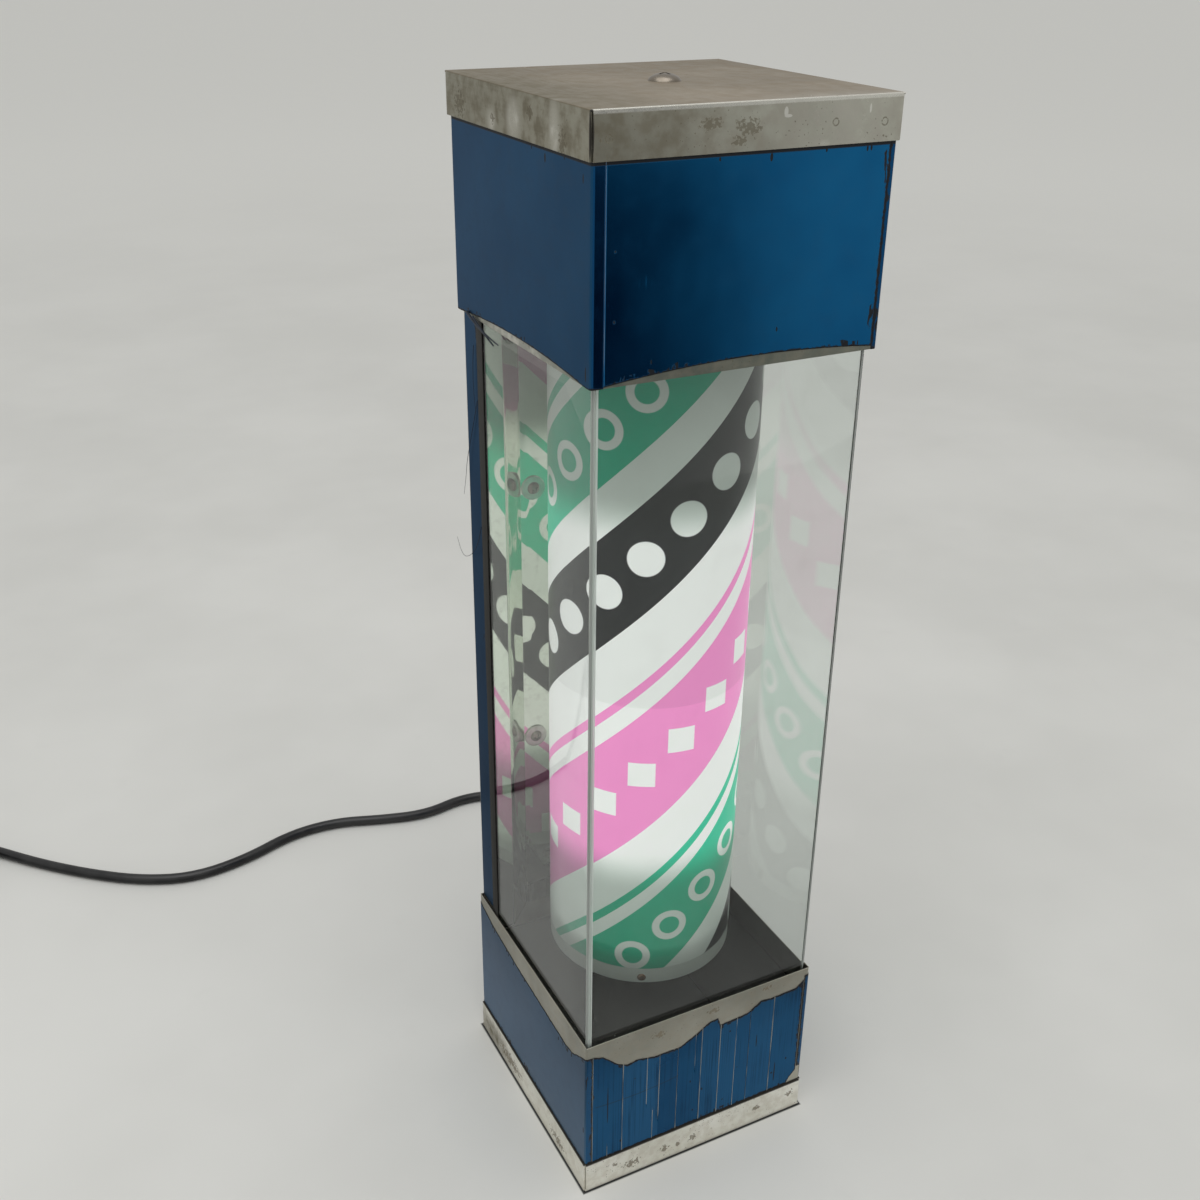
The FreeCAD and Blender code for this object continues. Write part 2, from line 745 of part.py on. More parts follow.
# Housing screws at the back, into the spine
housingGrip = "filmThick + 2 * sheetThick"
housingScrew = panScrew("housing_screw_master", "screwHead", "screwHigh", "screwShank", housingGrip)
housingPlaces = []
for side in ("-housingScrewX", "housingScrewX"):
    for height in ("housingScrewLow", "housingScrewHigh"):
        housingPlaces.append(((side, "upperBack + filmThick", height), headings["back"]))
keep(copies("housing_screws", housingScrew, housingPlaces))

# Cap: a folded lid with a hole for its screw
capOuter, capTools = foldedTray("top_cap", "capHalf", "capDepth", "capFoot", "capTop", True)
capHoleFoot = ("0", "0", "capTop - cutLong / 2")
capTools.append(rod("cap_hole", "capScrewShank + capScrewPlay", "cutLong", capHoleFoot))
keep(lessBy("top_cap", capOuter, capTools), "top_cap")

# Bridge across the upper housing, its nut and the domed cap screw
bridgeStrap = ("-upperHalf + sheetThick", "-bridgeHalfWide", "bridgeFoot")
bridgeSize = ("2 * (upperHalf - sheetThick)", "2 * bridgeHalfWide", "bridgeThick")
bridgePieces = [block("bridge_strap", bridgeStrap, bridgeSize)]
earSize = ("bridgeThick", "2 * bridgeHalfWide", "bridgeDrop + bridgeThick")
for low in ("-upperHalf + sheetThick", "upperHalf - sheetThick - bridgeThick"):
    bridgePieces.append(block("bridge_ear", (low, "-bridgeHalfWide", "bridgeFoot - bridgeDrop"), earSize))
bridgeHoleFoot = ("0", "0", "bridgeFoot - cutLong / 2")
bridgeHole = rod("bridge_hole", "capScrewShank + capScrewPlay", "cutLong", bridgeHoleFoot)
keep(lessBy("cap_bridge", joined("bridge_blank", bridgePieces), [bridgeHole]), "cap_bridge")

hexagon = []
for number in range(6):
    reach = "nutFlatHalf / cos(30 deg)"
    angle = 60 * number
    hexagon.append(("%s * cos(%d deg)" % (reach, angle), "%s * sin(%d deg)" % (reach, angle)))
nutBlank = padded("cap_nut_blank", "XY_Plane", "bridgeFoot - nutThick", hexagon, "nutThick")
nutBoreFoot = ("0", "0", "bridgeFoot - 1.5 * cutLong")
nutBore = rod("cap_nut_bore", "capScrewShank + fitGap", "2 * cutLong", nutBoreFoot)
keep(lessBy("cap_nut", nutBlank, [nutBore]), "cap_nut")

domeRadius = "(capScrewHead ^ 2 + capScrewHigh ^ 2) / (2 * capScrewHigh)"
dome = doc.addObject("Part::Sphere", "cap_screw_ball")
dome.setExpression("Radius", bound(domeRadius))
placeAt(dome, ("0", "0", "capTop + capScrewHigh - " + domeRadius))
headRoom = rod("cap_screw_room", "capScrewHead + 1", "capScrewHigh + 1", ("0", "0", "capTop"))
capHead = doc.addObject("Part::Common", "cap_screw_head")
capHead.Base = dome
capHead.Tool = headRoom
capShank = rod("cap_screw_shank", "capScrewShank", "capTop - capScrewFoot", ("0", "0", "capScrewFoot"))
slotLow = "capTop + 0.45 * capScrewHigh"
slotLong = "2 * capSlotHalf"
slotWide = "2 * capSlotHalfWide"
acrossLow = ("-capSlotHalf", "-capSlotHalfWide", slotLow)
alongLow = ("-capSlotHalfWide", "-capSlotHalf", slotLow)
crossTools = [
    block("cap_slot_across", acrossLow, (slotLong, slotWide, "capScrewHigh")),
    block("cap_slot_along", alongLow, (slotWide, slotLong, "capScrewHigh")),
]
keep(lessBy("cap_screw", joined("cap_screw_blank", [capHead, capShank]), crossTools), "cap_screw")

# Motor plate: a shelf with three flanges, across the upper housing
plateHalf = "(upperHalf - sheetThick)"
plateFront = "(upperFront - sheetThick)"
plateOutline = [
    ("-" + plateHalf, "ledgeBack"),
    ("-" + plateHalf, "-" + plateFront),
    (plateHalf, "-" + plateFront),
    (plateHalf, "ledgeBack"),
]
plateBlank = padded("motor_plate_blank", "XY_Plane", "plateFoot", plateOutline, "plateThick")
plateFlanges = threeSides(plateHalf, plateFront, "ledgeBack", "plateThick")
addPad(plateBlank, "XY_Plane", "plateFoot - plateDrop", plateFlanges, "plateDrop")
plateCut = "plateFoot - cutLong / 2"
plateHoles = [rod("plate_bush_hole", "bushRadius + 4 * fitGap", "cutLong", ("0", "0", plateCut))]
for side in ("-motorScrewAt", "motorScrewAt"):
    plateHoles.append(rod("plate_screw_hole", "screwHole", "cutLong", (side, "0", plateCut)))
keep(lessBy("motor_plate", plateBlank, plateHoles), "motor_plate")

# Motor base with its two ears, the case over it and the bush in it
earsLow = ("-motorEarHalf", "-motorEarWide / 2", "motorFoot")
basePieces = [
    rod("motor_base_disc", "motorRadius", "motorBase", ("0", "0", "motorFoot")),
    block("motor_base_ears", earsLow, ("2 * motorEarHalf", "motorEarWide", "motorBase")),
]
baseCut = "motorFoot - cutLong / 2"
baseHoles = [
    rod("base_bush_hole", "bushRadius", "cutLong", ("0", "0", baseCut)),
    rod("base_pin_hole", "pinRadius", "cutLong", ("0", "gearOffset", baseCut)),
]
for side in ("-motorScrewAt", "motorScrewAt"):
    baseHoles.append(rod("base_screw_hole", "screwHole", "cutLong", (side, "0", baseCut)))
keep(lessBy("motor_base", joined("motor_base_blank", basePieces), baseHoles), "motor_base")
caseFoot = "motorFoot + motorBase"
caseOutline = [
    ("pinRadius", "motorTop - sheetThick"),
    ("motorRadius - sheetThick", "motorTop - sheetThick"),
    ("motorRadius - sheetThick", caseFoot),
    ("motorRadius", caseFoot),
    ("motorRadius", "motorTop"),
    ("pinRadius", "motorTop"),
]
keep(turned("motor_case", caseOutline))
bushOutline = [
    ("shaftRadius + fitGap", "bushFoot"),
    ("bushRadius", "bushFoot"),
    ("bushRadius", "bushTop"),
    ("shaftRadius + fitGap", "bushTop"),
]
keep(turned("shaft_bush", bushOutline))
coilOutline = [
    ("coilInner", "coilFoot"),
    ("coilOuter", "coilFoot"),
    ("coilOuter", "coilTop"),
    ("coilInner", "coilTop"),
]
keep(turned("motor_coil", coilOutline))
rotorPin = rod("rotor_pin", "pinRadius", "motorTop - rotorFoot + 0.3", ("0", "0", "rotorFoot - 0.3"))
idlerPin = rod("idler_pin", "pinRadius", "rotorDiscFoot - motorFoot - 0.8", ("0", "gearOffset", "motorFoot"))
keep(group("gear_pins", [rotorPin, idlerPin]), "gear_pins")


def toothOutline(pitch, tipHalf, pitchHalf):
    # One straight-sided tooth on +X, narrow enough to leave backlash
    return [
        ("%s - toothRoot - 0.3" % pitch, "-0.5"),
        ("%s - toothRoot" % pitch, "-0.5"),
        (pitch, "-%s" % pitchHalf),
        ("%s + toothTip" % pitch, "-%s" % tipHalf),
        ("%s + toothTip" % pitch, tipHalf),
        (pitch, pitchHalf),
        ("%s - toothRoot" % pitch, "0.5"),
        ("%s - toothRoot - 0.3" % pitch, "0.5"),
    ]


def addTeeth(body, count, pitch, foot, thick, tipHalf, pitchHalf):
    tooth = addPad(body, "XY_Plane", foot, toothOutline(pitch, tipHalf, pitchHalf), thick)
    doc.recompute()
    ring = body.newObject("PartDesign::PolarPattern", body.Name + "_teeth")
    ring.Originals = [tooth]
    ring.Axis = (tooth.Profile[0], ["N_Axis"])
    ring.Angle = 360
    ring.Occurrences = count
    body.Tip = ring
    doc.recompute()


# Tooth counts of each wheel and each pinion, and half widths of a tooth at its tip and at the pitch circle
wheelTeeth = 40
pinionTeeth = 10
wheelTooth = (0.24, 0.4)
pinionTooth = (0.2, 0.36)

# Drive gear on the drum's shaft
gearBore = "shaftRadius"
driveOutline = [
    (gearBore, "driveGearFoot"),
    ("wheelPitch - toothRoot", "driveGearFoot"),
    ("wheelPitch - toothRoot", "driveGearFoot + driveGearThick"),
    (gearBore, "driveGearFoot + driveGearThick"),
]
driveGear = turned("drive_gear", driveOutline)
addTeeth(driveGear, wheelTeeth, "wheelPitch", "driveGearFoot", "driveGearThick", *wheelTooth)
keep(driveGear)
keep(rod("drive_shaft", "shaftRadius", "shaftTop - shaftFoot", ("0", "0", "shaftFoot")))

# Idler: a wheel and a pinion in one piece, running on its pin
idlerBore = "pinRadius + fitGap"
idlerOutline = [
    (idlerBore, "idlerFoot"),
    ("pinionPitch - toothRoot", "idlerFoot"),
    ("pinionPitch - toothRoot", "idlerWheelFoot"),
    ("wheelPitch - toothRoot", "idlerWheelFoot"),
    ("wheelPitch - toothRoot", "idlerWheelFoot + idlerWheelThick"),
    (idlerBore, "idlerWheelFoot + idlerWheelThick"),
]
idler = turned("idler_gear", idlerOutline)
addTeeth(idler, pinionTeeth, "pinionPitch", "idlerFoot", "idlerWheelFoot - idlerFoot", *pinionTooth)
addTeeth(idler, wheelTeeth, "wheelPitch", "idlerWheelFoot", "idlerWheelThick", *wheelTooth)
placeAt(idler, ("0", "gearOffset", "0"))
keep(idler)

# Rotor: a magnet disc with its pinion below
rotorOutline = [
    (idlerBore, "rotorFoot"),
    ("pinionPitch - toothRoot", "rotorFoot"),
    ("pinionPitch - toothRoot", "rotorDiscFoot"),
    ("rotorRadius", "rotorDiscFoot"),
    ("rotorRadius", "rotorDiscTop"),
    (idlerBore, "rotorDiscTop"),
]
rotor = turned("motor_rotor", rotorOutline)
addTeeth(rotor, pinionTeeth, "pinionPitch", "rotorFoot", "rotorDiscFoot - rotorFoot", *pinionTooth)
keep(rotor)

# Drum tube with its rivet holes, the printed film round it and the stiffening hoop in its foot
rivetAngles = (-118, 2, 122)
rivetSpots = [(angle, height) for height in ("rivetLow", "rivetHigh") for angle in rivetAngles]


def rivetHoles(name, spots):
    holes = []
    for angle, height in spots:
        hole = rod(name, "rivetRadius + fitGap", "cutLong", ("0", "0", "0"))
        holes.append(aroundDrum(hole, "drumRadius - 6", angle, height))
    return holes


drumHigh = "drumTop - drumFoot"
drumOuter = rod("drum_outer", "drumRadius", drumHigh, ("0", "0", "drumFoot"))
drumBore = rod("drum_bore", "drumRadius - drumWall", drumHigh + " + 2", ("0", "0", "drumFoot - 1"))
keep(lessBy("drum_tube", drumOuter, [drumBore] + rivetHoles("drum_rivet_hole", rivetSpots)), "drum_tube")
printOutline = [
    ("drumRadius + fitGap", "printFoot"),
    ("drumRadius + fitGap + filmThick", "printFoot"),
    ("drumRadius + fitGap + filmThick", "printTop"),
    ("drumRadius + fitGap", "printTop"),
]
keep(turned("drum_print", printOutline))
hoopOuter = "drumRadius - drumWall - fitGap"
hoopOutline = [
    (hoopOuter + " - hoopWall", "drumFoot"),
    (hoopOuter, "drumFoot"),
    (hoopOuter, "drumFoot + hoopHigh"),
    (hoopOuter + " - hoopWall", "drumFoot + hoopHigh"),
]
hoop = turned("drum_hoop", hoopOutline)
lowSpots = [spot for spot in rivetSpots if spot[1] == "rivetLow"]
keep(lessBy("drum_bottom_ring", hoop, rivetHoles("hoop_rivet_hole", lowSpots)), "drum_bottom_ring")

# Spider: a pressed disc in the drum's top, with lightening holes and an upturned rim
rimInner = hoopOuter + " - spiderThick"
spiderOutline = [
    ("shaftRadius + 1", "spiderFoot"),
    (hoopOuter, "spiderFoot"),
    (hoopOuter, "drumTop"),
    (rimInner, "drumTop"),
    (rimInner, "spiderFoot + spiderThick"),
    ("shaftRadius + 1", "spiderFoot + spiderThick"),
]
spiderBlank = turned("spider_blank", spiderOutline)
lightening = sketchIn(spiderBlank, "XY_Plane", "spiderFoot + spiderThick")
drawCircle(lightening, "spiderHole", ("spiderHoleAt", "0"))
lightHole = pocketed(spiderBlank, lightening, "2 * spiderThick")
lightRing = spiderBlank.newObject("PartDesign::PolarPattern", "spider_holes")
lightRing.Originals = [lightHole]
lightRing.Axis = (lightening, ["N_Axis"])
lightRing.Angle = 360
lightRing.Occurrences = 6
spiderBlank.Tip = lightRing
highSpots = [spot for spot in rivetSpots if spot[1] == "rivetHigh"]
hubScrewAngles = (30, 150, 270)


def hubScrewSpot(angle, height):
    return ("hubScrewAt * cos(%d deg)" % angle, "hubScrewAt * sin(%d deg)" % angle, height)


def hubScrewHoles(name):
    holes = []
    for angle in hubScrewAngles:
        place = hubScrewSpot(angle, "spiderFoot - cutLong / 2")
        holes.append(rod(name, "rivetRadius + fitGap", "1.5 * cutLong", place))
    return holes


spiderHoles = rivetHoles("spider_rivet_hole", highSpots) + hubScrewHoles("spider_hub_hole")
keep(lessBy("drum_spider", spiderBlank, spiderHoles), "drum_spider")

# Rivets through the tube into the hoop and into the spider's rim
rivetGrip = "drumWall + hoopWall + 2 * fitGap + 1"
rivetOutline = [
    ("0", "rivetHeadHigh"),
    ("rivetHeadTop", "rivetHeadHigh"),
    ("rivetHead", "0"),
    ("rivetRadius", "0"),
    ("rivetRadius", "-(%s)" % rivetGrip),
    ("0", "-(%s)" % rivetGrip),
]
rivet = turned("rivet_master", rivetOutline)
rivetLinks = []
for angle, height in rivetSpots:
    link = doc.addObject("App::Link", "drum_rivet")
    link.LinkedObject = rivet
    rivetLinks.append(aroundDrum(link, "drumRadius", angle, height))
keep(group("drum_rivets", rivetLinks))

# Hub on the spider, with its three screws and the set screw that grips the shaft
hubOutline = [
    ("shaftRadius", "spiderFoot + spiderThick"),
    ("hubFlange", "spiderFoot + spiderThick"),
    ("hubFlange", "spiderFoot + spiderThick + hubFlangeThick"),
    ("hubRadius", "spiderFoot + spiderThick + hubFlangeThick"),
    ("hubRadius", "hubTop"),
    ("shaftRadius", "hubTop"),
]
hubBlank = turned("hub_blank", hubOutline)
setScrewHeight = "hubTop - 4.5"
setHoleFoot = ("shaftRadius - 0.5", "0", setScrewHeight)
setHole = rod("hub_set_hole", "rivetRadius + fitGap", "cutLong", setHoleFoot, "right")
keep(lessBy("drum_hub", hubBlank, [setHole] + hubScrewHoles("hub_screw_hole")), "drum_hub")
hubGrip = "hubFlangeThick + spiderThick + 1.5"
hubScrew = panScrew("hub_screw_master", "0.75 * screwHead", "0.8 * screwHigh", "rivetRadius", hubGrip)
hubScrewPlaces = []
for angle in hubScrewAngles:
    place = hubScrewSpot(angle, "spiderFoot + spiderThick + hubFlangeThick")
    hubScrewPlaces.append((place, headings["up"]))
keep(copies("hub_screws", hubScrew, hubScrewPlaces))
setLong = "hubRadius - shaftRadius + 1"
setBlank = rod("set_screw_blank", "rivetRadius", setLong, ("shaftRadius", "0", setScrewHeight), "right")
setSlot = block("set_screw_slot", ("hubRadius", "-0.3", setScrewHeight + " - 3"), (5, 0.6, 6))
keep(lessBy("hub_set_screw", setBlank, [setSlot]), "hub_set_screw")

# Lamp bracket: a channel with a foot on the deck plate
webLow = ("-bracketHalf", "bracketFront", "ledgeTop + deckThick")
footLow = ("-bracketHalf", "bracketFront", "ledgeTop + deckThick")
bracketPieces = [
    block("bracket_web", webLow, ("2 * bracketHalf", "sheetThick", "bracketTop - ledgeTop - deckThick")),
    block("bracket_foot", footLow, ("2 * bracketHalf", "bracketFootBack - bracketFront", "deckThick")),
]
for low in ("-bracketHalf", "bracketHalf - sheetThick"):
    size = ("sheetThick", "bracketBack - bracketFront", "bracketTop - bracketFlangeFoot")
    bracketPieces.append(block("bracket_flange", (low, "bracketFront", "bracketFlangeFoot"), size))
bracketHoles = [underDeck("bracket_lead_hole", "leadRadius + leadPlay", "0", "upperLeadBack")]
for spot in bracketScrewSpots:
    bracketHoles.append(underDeck("bracket_screw_hole", "screwHole", *spot))
holderMiddles = ("lampFoot - holderHigh / 2", "lampTop + holderHigh / 2")
for height in holderMiddles:
    bracketHoles.append(backHole("bracket_holder_hole", "screwHole", "0", "bracketFront", height))
keep(lessBy("lamp_bracket", joined("bracket_blank", bracketPieces), bracketHoles), "lamp_bracket")

# Lamp holders with their pin holes, one under the lamp and one over it
holderSize = ("2 * holderHalf", "holderFront + bracketFront", "holderHigh")
for name, foot, pinFoot, middle in (
    ("lamp_holder_lower", "lampFoot - holderHigh", "lampFoot - lampPinLong - 0.2", holderMiddles[0]),
    ("lamp_holder_upper", "lampTop", "lampTop - 1", holderMiddles[1]),
):
    blank = block(name + "_blank", ("-holderHalf", "-holderFront", foot), holderSize)
    tools = [rod(name + "_screw_hole", "screwHole", 8, ("0", "bracketFront - 7", middle), "back")]
    for side in ("-lampPinAt", "lampPinAt"):
        pinPlace = (side, "0", pinFoot)
        tools.append(rod(name + "_pin_hole", "lampPinRadius + fitGap", "lampPinLong + 1.2", pinPlace))
    keep(lessBy(name, blank, tools), name)

# Lamp: a glass tube between two end caps with pins
glassFoot = "lampFoot + lampCapLong"
glassOutline = [
    ("lampRadius - 0.9", glassFoot),
    ("lampRadius - 0.1", glassFoot),
    ("lampRadius - 0.1", "lampTop - lampCapLong"),
    ("lampRadius - 0.9", "lampTop - lampCapLong"),
]
keep(turned("lamp_glass", glassOutline))
capPieces = []
capFeet = (("lampFoot", "lampFoot - lampPinLong"), ("lampTop - lampCapLong", "lampTop"))
for number, (foot, pinFoot) in enumerate(capFeet, 1):
    pieces = [rod("lamp_cap_%d" % number, "lampRadius", "lampCapLong", ("0", "0", foot))]
    for side in ("-lampPinAt", "lampPinAt"):
        pieces.append(rod("lamp_cap_pin", "lampPinRadius", "lampPinLong", (side, "0", pinFoot)))
    capPieces.append(joined("lamp_cap_whole_%d" % number, pieces))
keep(group("lamp_caps", capPieces))

# Ballast: a wound block on a foot plate with two ears
ballastFloor = "sheetThick"
ballastWide = "ballastLeft - ballastRight"
ballastSize = (ballastWide, "ballastFront + ballastBack", "ballastHigh")
ballastBody = block("ballast_body", ("-ballastLeft", "-ballastFront", ballastFloor), ballastSize)
earSize = (ballastWide, "ballastFront + ballastBack + 2 * ballastEar", "ballastFoot")
ballastEars = block("ballast_ears", ("-ballastLeft", "-ballastFront - ballastEar", ballastFloor), earSize)
ballastMiddle = "-(ballastLeft + ballastRight) / 2"
ballastEnds = ("-ballastFront - ballastEar / 2", "ballastBack + ballastEar / 2")
ballastTools = []
for along in ballastEnds:
    place = (ballastMiddle, along, ballastFloor + " - cutLong / 2")
    ballastTools.append(rod("ballast_screw_hole", "screwHole", "cutLong", place))
keep(lessBy("ballast", joined("ballast_blank", [ballastBody, ballastEars]), ballastTools), "ballast")

# Starter in its socket, and the terminal block
socketLow = ("starterX - socketHalf", "-starterY - socketHalf", "sheetThick")
keep(block("starter_socket", socketLow, ("2 * socketHalf", "2 * socketHalf", "socketHigh")))
starterFoot = ("starterX", "-starterY", "sheetThick + socketHigh")
keep(rod("starter", "starterRadius", "starterHigh", starterFoot))
blockLow = ("-blockHalf", "blockFront", "sheetThick")
keep(block("terminal_block", blockLow, ("2 * blockHalf", "blockBack - blockFront", "blockHigh")))

# Screws of one size inside: motor ears, bracket foot, lamp holders and ballast ears
chassisScrew = panScrew("chassis_screw_master", "screwHead", "screwHigh", "screwShank", "6")
shortScrew = panScrew("ballast_screw_master", "screwHead", "screwHigh", "screwShank", "ballastFoot")
chassisPlaces = []
for side in ("-motorScrewAt", "motorScrewAt"):
    chassisPlaces.append(((side, "0", caseFoot), headings["up"]))
for spot in bracketScrewSpots:
    chassisPlaces.append(((*spot, "ledgeTop + 2 * deckThick"), headings["up"]))
for height in holderMiddles:
    chassisPlaces.append((("0", "bracketFront + sheetThick", height), headings["back"]))
keep(copies("chassis_screws", chassisScrew, chassisPlaces))
ballastHead = "sheetThick + ballastFoot"
ballastPlaces = [((ballastMiddle, along, ballastHead), headings["up"]) for along in ballastEnds]
keep(copies("ballast_screws", shortScrew, ballastPlaces))


def roundedPath(points, share=0.45):
    # Straight runs joined by tangent arcs: each arc as large as its two runs allow
    corners = [FreeCAD.Vector(*point) for point in points]
    edges = []
    radii = []
    start = corners[0]
    for before, corner, after in zip(corners, corners[1:], corners[2:]):
        incoming = corner - before
        outgoing = after - corner
        half = incoming.getAngle(outgoing) / 2
        trim = share * min(incoming.Length, outgoing.Length)
        radii.append(trim / math.tan(half))
        first = corner - incoming.normalize() * trim
        last = corner + outgoing.normalize() * trim
        middle = (first + last) * 0.5
        reach = radii[-1] * (1 / math.cos(half) - 1)
        top = corner + (middle - corner).normalize() * reach
        edges.append(Part.LineSegment(start, first).toShape())
        edges.append(Part.Arc(first, top, last).toShape())
        start = last
    edges.append(Part.LineSegment(start, corners[-1]).toShape())
    return Part.Wire(edges), radii


def tubeAlong(name, path, radius):
    # A round tube along a path, its volume compared with section times length
    start = path.Edges[0].valueAt(path.Edges[0].FirstParameter)
    heading = path.Edges[0].tangentAt(path.Edges[0].FirstParameter)
    ring = Part.Wire([Part.makeCircle(radius, start, heading)])
    shape = path.makePipeShell([ring], True, False)
    share = shape.Volume / (math.pi * radius**2 * path.Length)
    print("%s: length %.1f mm, volume %.4f of section times length" % (name, path.Length, share))
    if abs(share - 1) > 0.01:
        raise SystemExit("the tube %s has the wrong volume" % name)
    return shape


def feature(name, shape):
    piece = doc.addObject("Part::Feature", name)
    piece.Shape = shape
    return piece


# Leads inside: mains from the gland to the terminal block, lamp leads to the two holders and
# the motor's lead up the spine
glandX = sizes["glandX"]
glandHigh = sizes["glandHigh"]
deckLead = sizes["sheetThick"] + sizes["blockHigh"]
wallInside = sizes["lowerDepth"] - sizes["sheetThick"]
mainsStub = [
    (glandX, wallInside - 4, glandHigh),
    (glandX, wallInside - 20, glandHigh),
    (glandX, wallInside - 36, 26.0),
    (glandX - 2, 22.0, 12.0),
    (sizes["blockHalf"] + 9, 13.0, 9.0),
    (sizes["blockHalf"], 13.0, 9.0),
]
lowerLead = Part.LineSegment(
    FreeCAD.Vector(sizes["lowerLeadX"], sizes["lowerLeadY"], deckLead),
    FreeCAD.Vector(sizes["lowerLeadX"], sizes["lowerLeadY"], sizes["lampFoot"] - sizes["holderHigh"]),
)
overTop = sizes["bracketTop"] + 2
leadBack = sizes["upperLeadBack"]
leadFront = sizes["upperLeadFront"]
backTop = FreeCAD.Vector(0, leadBack, overTop)
bendTop = FreeCAD.Vector(0, (leadBack + leadFront) / 2, overTop + (leadBack - leadFront) / 2)
frontTop = FreeCAD.Vector(0, leadFront, overTop)
upperLead = [
    Part.LineSegment(FreeCAD.Vector(0, leadBack, deckLead), backTop),
    Part.Arc(backTop, bendTop, frontTop),
    Part.LineSegment(frontTop, FreeCAD.Vector(0, leadFront, sizes["lampTop"] + sizes["holderHigh"])),
]
leadRadius = sizes["leadRadius"]
innerLeads = [
    tubeAlong("mains stub", roundedPath(mainsStub)[0], sizes["mainsStubRadius"]),
    tubeAlong("lower lamp lead", Part.Wire([lowerLead.toShape()]), leadRadius),
    tubeAlong("upper lamp lead", Part.Wire([run.toShape() for run in upperLead]), leadRadius),
]
keep(feature("inner_leads", Part.makeCompound(innerLeads)))
pocketX = 64.0
pocketY = 66.0
caseSide = sizes["motorRadius"]
motorLead = [
    (12.0, sizes["blockBack"], 9.0),
    (12.0, 42.0, 9.0),
    (30.0, 58.0, 9.0),
    (56.0, 64.0, 18.0),
    (pocketX, pocketY, 48.0),
    (pocketX, pocketY + 0.5, 290.0),
    (pocketX, pocketY, 500.0),
    (61.0, 65.0, 522.0),
    (54.0, 52.0, 538.0),
    (44.0, 14.0, 534.0),
    (caseSide + 8, 0.0, 532.0),
    (caseSide, 0.0, 532.0),
]
keep(feature("motor_lead", tubeAlong("motor lead", roundedPath(motorLead)[0], sizes["motorLeadRadius"])))

# Cord gland in the back wall: inner nut, neck, flange and tapered strain relief
outsideWall = "lowerDepth + filmThick"
nutFoot = ("glandX", "lowerDepth - sheetThick - glandNutThick", "glandHigh")
neckFoot = ("glandX", "lowerDepth - sheetThick - 1", "glandHigh")
flangeFoot = ("glandX", outsideWall, "glandHigh")
taperFoot = ("glandX", outsideWall + " + glandFlangeThick", "glandHigh")
taperLong = "glandEnd - lowerDepth - filmThick - glandFlangeThick"
glandPieces = [
    rod("gland_nut", "glandFlange", "glandNutThick", nutFoot, "back"),
    rod("gland_neck", "glandNeck", "sheetThick + filmThick + 2", neckFoot, "back"),
    rod("gland_flange", "glandFlange", "glandFlangeThick", flangeFoot, "back"),
    cone("gland_taper", "glandTaper", "cordRadius + glandWall", taperLong, taperFoot, "back"),
]
keep(joined("cord_gland", glandPieces), "cord_gland")

# Cord: from the strain relief down to the floor and away to the left, as far as its coil
cordRadius = sizes["cordRadius"]
onFloor = cordRadius
onTies = cordRadius + sizes["tieThick"]
cordRoute = [
    (glandX, sizes["glandEnd"], glandHigh),
    (glandX, 131, glandHigh),
    (41, 158, 28.5),
    (45, 187, 12.0),
    (53, 218, onFloor),
    (62, 252, onFloor),
    (60, 287, onFloor),
    (40, 313, onFloor),
    (9, 321, onFloor),
    (-25, 313, onFloor),
    (-60, 322, onFloor),
    (-95, 335, onFloor),
    (-133, 334.5, onFloor),
    (-172, 319, onFloor),
    (-214, 314, onFloor),
    (-251, 329, onFloor),
    (-284, 354, onFloor),
    (-315, 383, onFloor),
    (-342, 412, onTies),
    (-366, 440, onTies),
]
cordPath, cordRadii = roundedPath(cordRoute)
print("cord arc radii in mm:", ", ".join("%.0f" % radius for radius in cordRadii))
keep(feature("cord", tubeAlong("cord", cordPath, cordRadius)))


def arcFrom(start, heading, end):
    # The arc that leaves start along heading and arrives at end
    chord = end - start
    along = FreeCAD.Vector(chord).normalize()
    aside = heading - along * heading.dot(along)
    if aside.Length < 1e-6:
        return Part.LineSegment(start, end).toShape()
    turn = heading.getAngle(along)
    middle = start + chord * 0.5 + aside.normalize() * (chord.Length / 2 * math.tan(turn / 2))
    return Part.Arc(start, middle, end).toShape()


def biarc(start, heading, end, arrival):
    # Two arcs that meet smoothly between two points with known directions
    chord = end - start
    both = heading + arrival
    bend = 2 * (1 - heading.dot(arrival))
    reach = chord.dot(both)
    if bend < 1e-9:
        length = chord.dot(chord) / (2 * reach)
    else:
        length = (-reach + math.sqrt(reach**2 + bend * chord.dot(chord))) / bend
    joint = (start + end + (heading - arrival) * length) * 0.5
    first = arcFrom(start, heading, joint)
    last = arcFrom(end, arrival * -1, joint)
    last.reverse()
    return [first, last]


# Coil of the length put away: two layers, spiralling in below and out above, climbing at the inside
coilRadius = sizes["coilRadius"]
coilPitch = sizes["coilPitch"]
cordEnd = FreeCAD.Vector(*cordRoute[-1])
cordHeading = (cordEnd - FreeCAD.Vector(*cordRoute[-2])).normalize()
coilStart = cordEnd + cordHeading * (2 * cordRadius)
startAngle = math.atan2(-cordHeading.x, cordHeading.y)
coilCentre = coilStart - FreeCAD.Vector(math.cos(startAngle), math.sin(startAngle), 0) * coilRadius
climbTurns = 0.5
endAngle = math.pi
spareTurns = (endAngle - startAngle) / (2 * math.pi) + 5
layerTurns = (spareTurns - climbTurns) / 2
innerRadius = coilRadius - coilPitch * layerTurns
climbInset = coilPitch / (2 * math.pi)


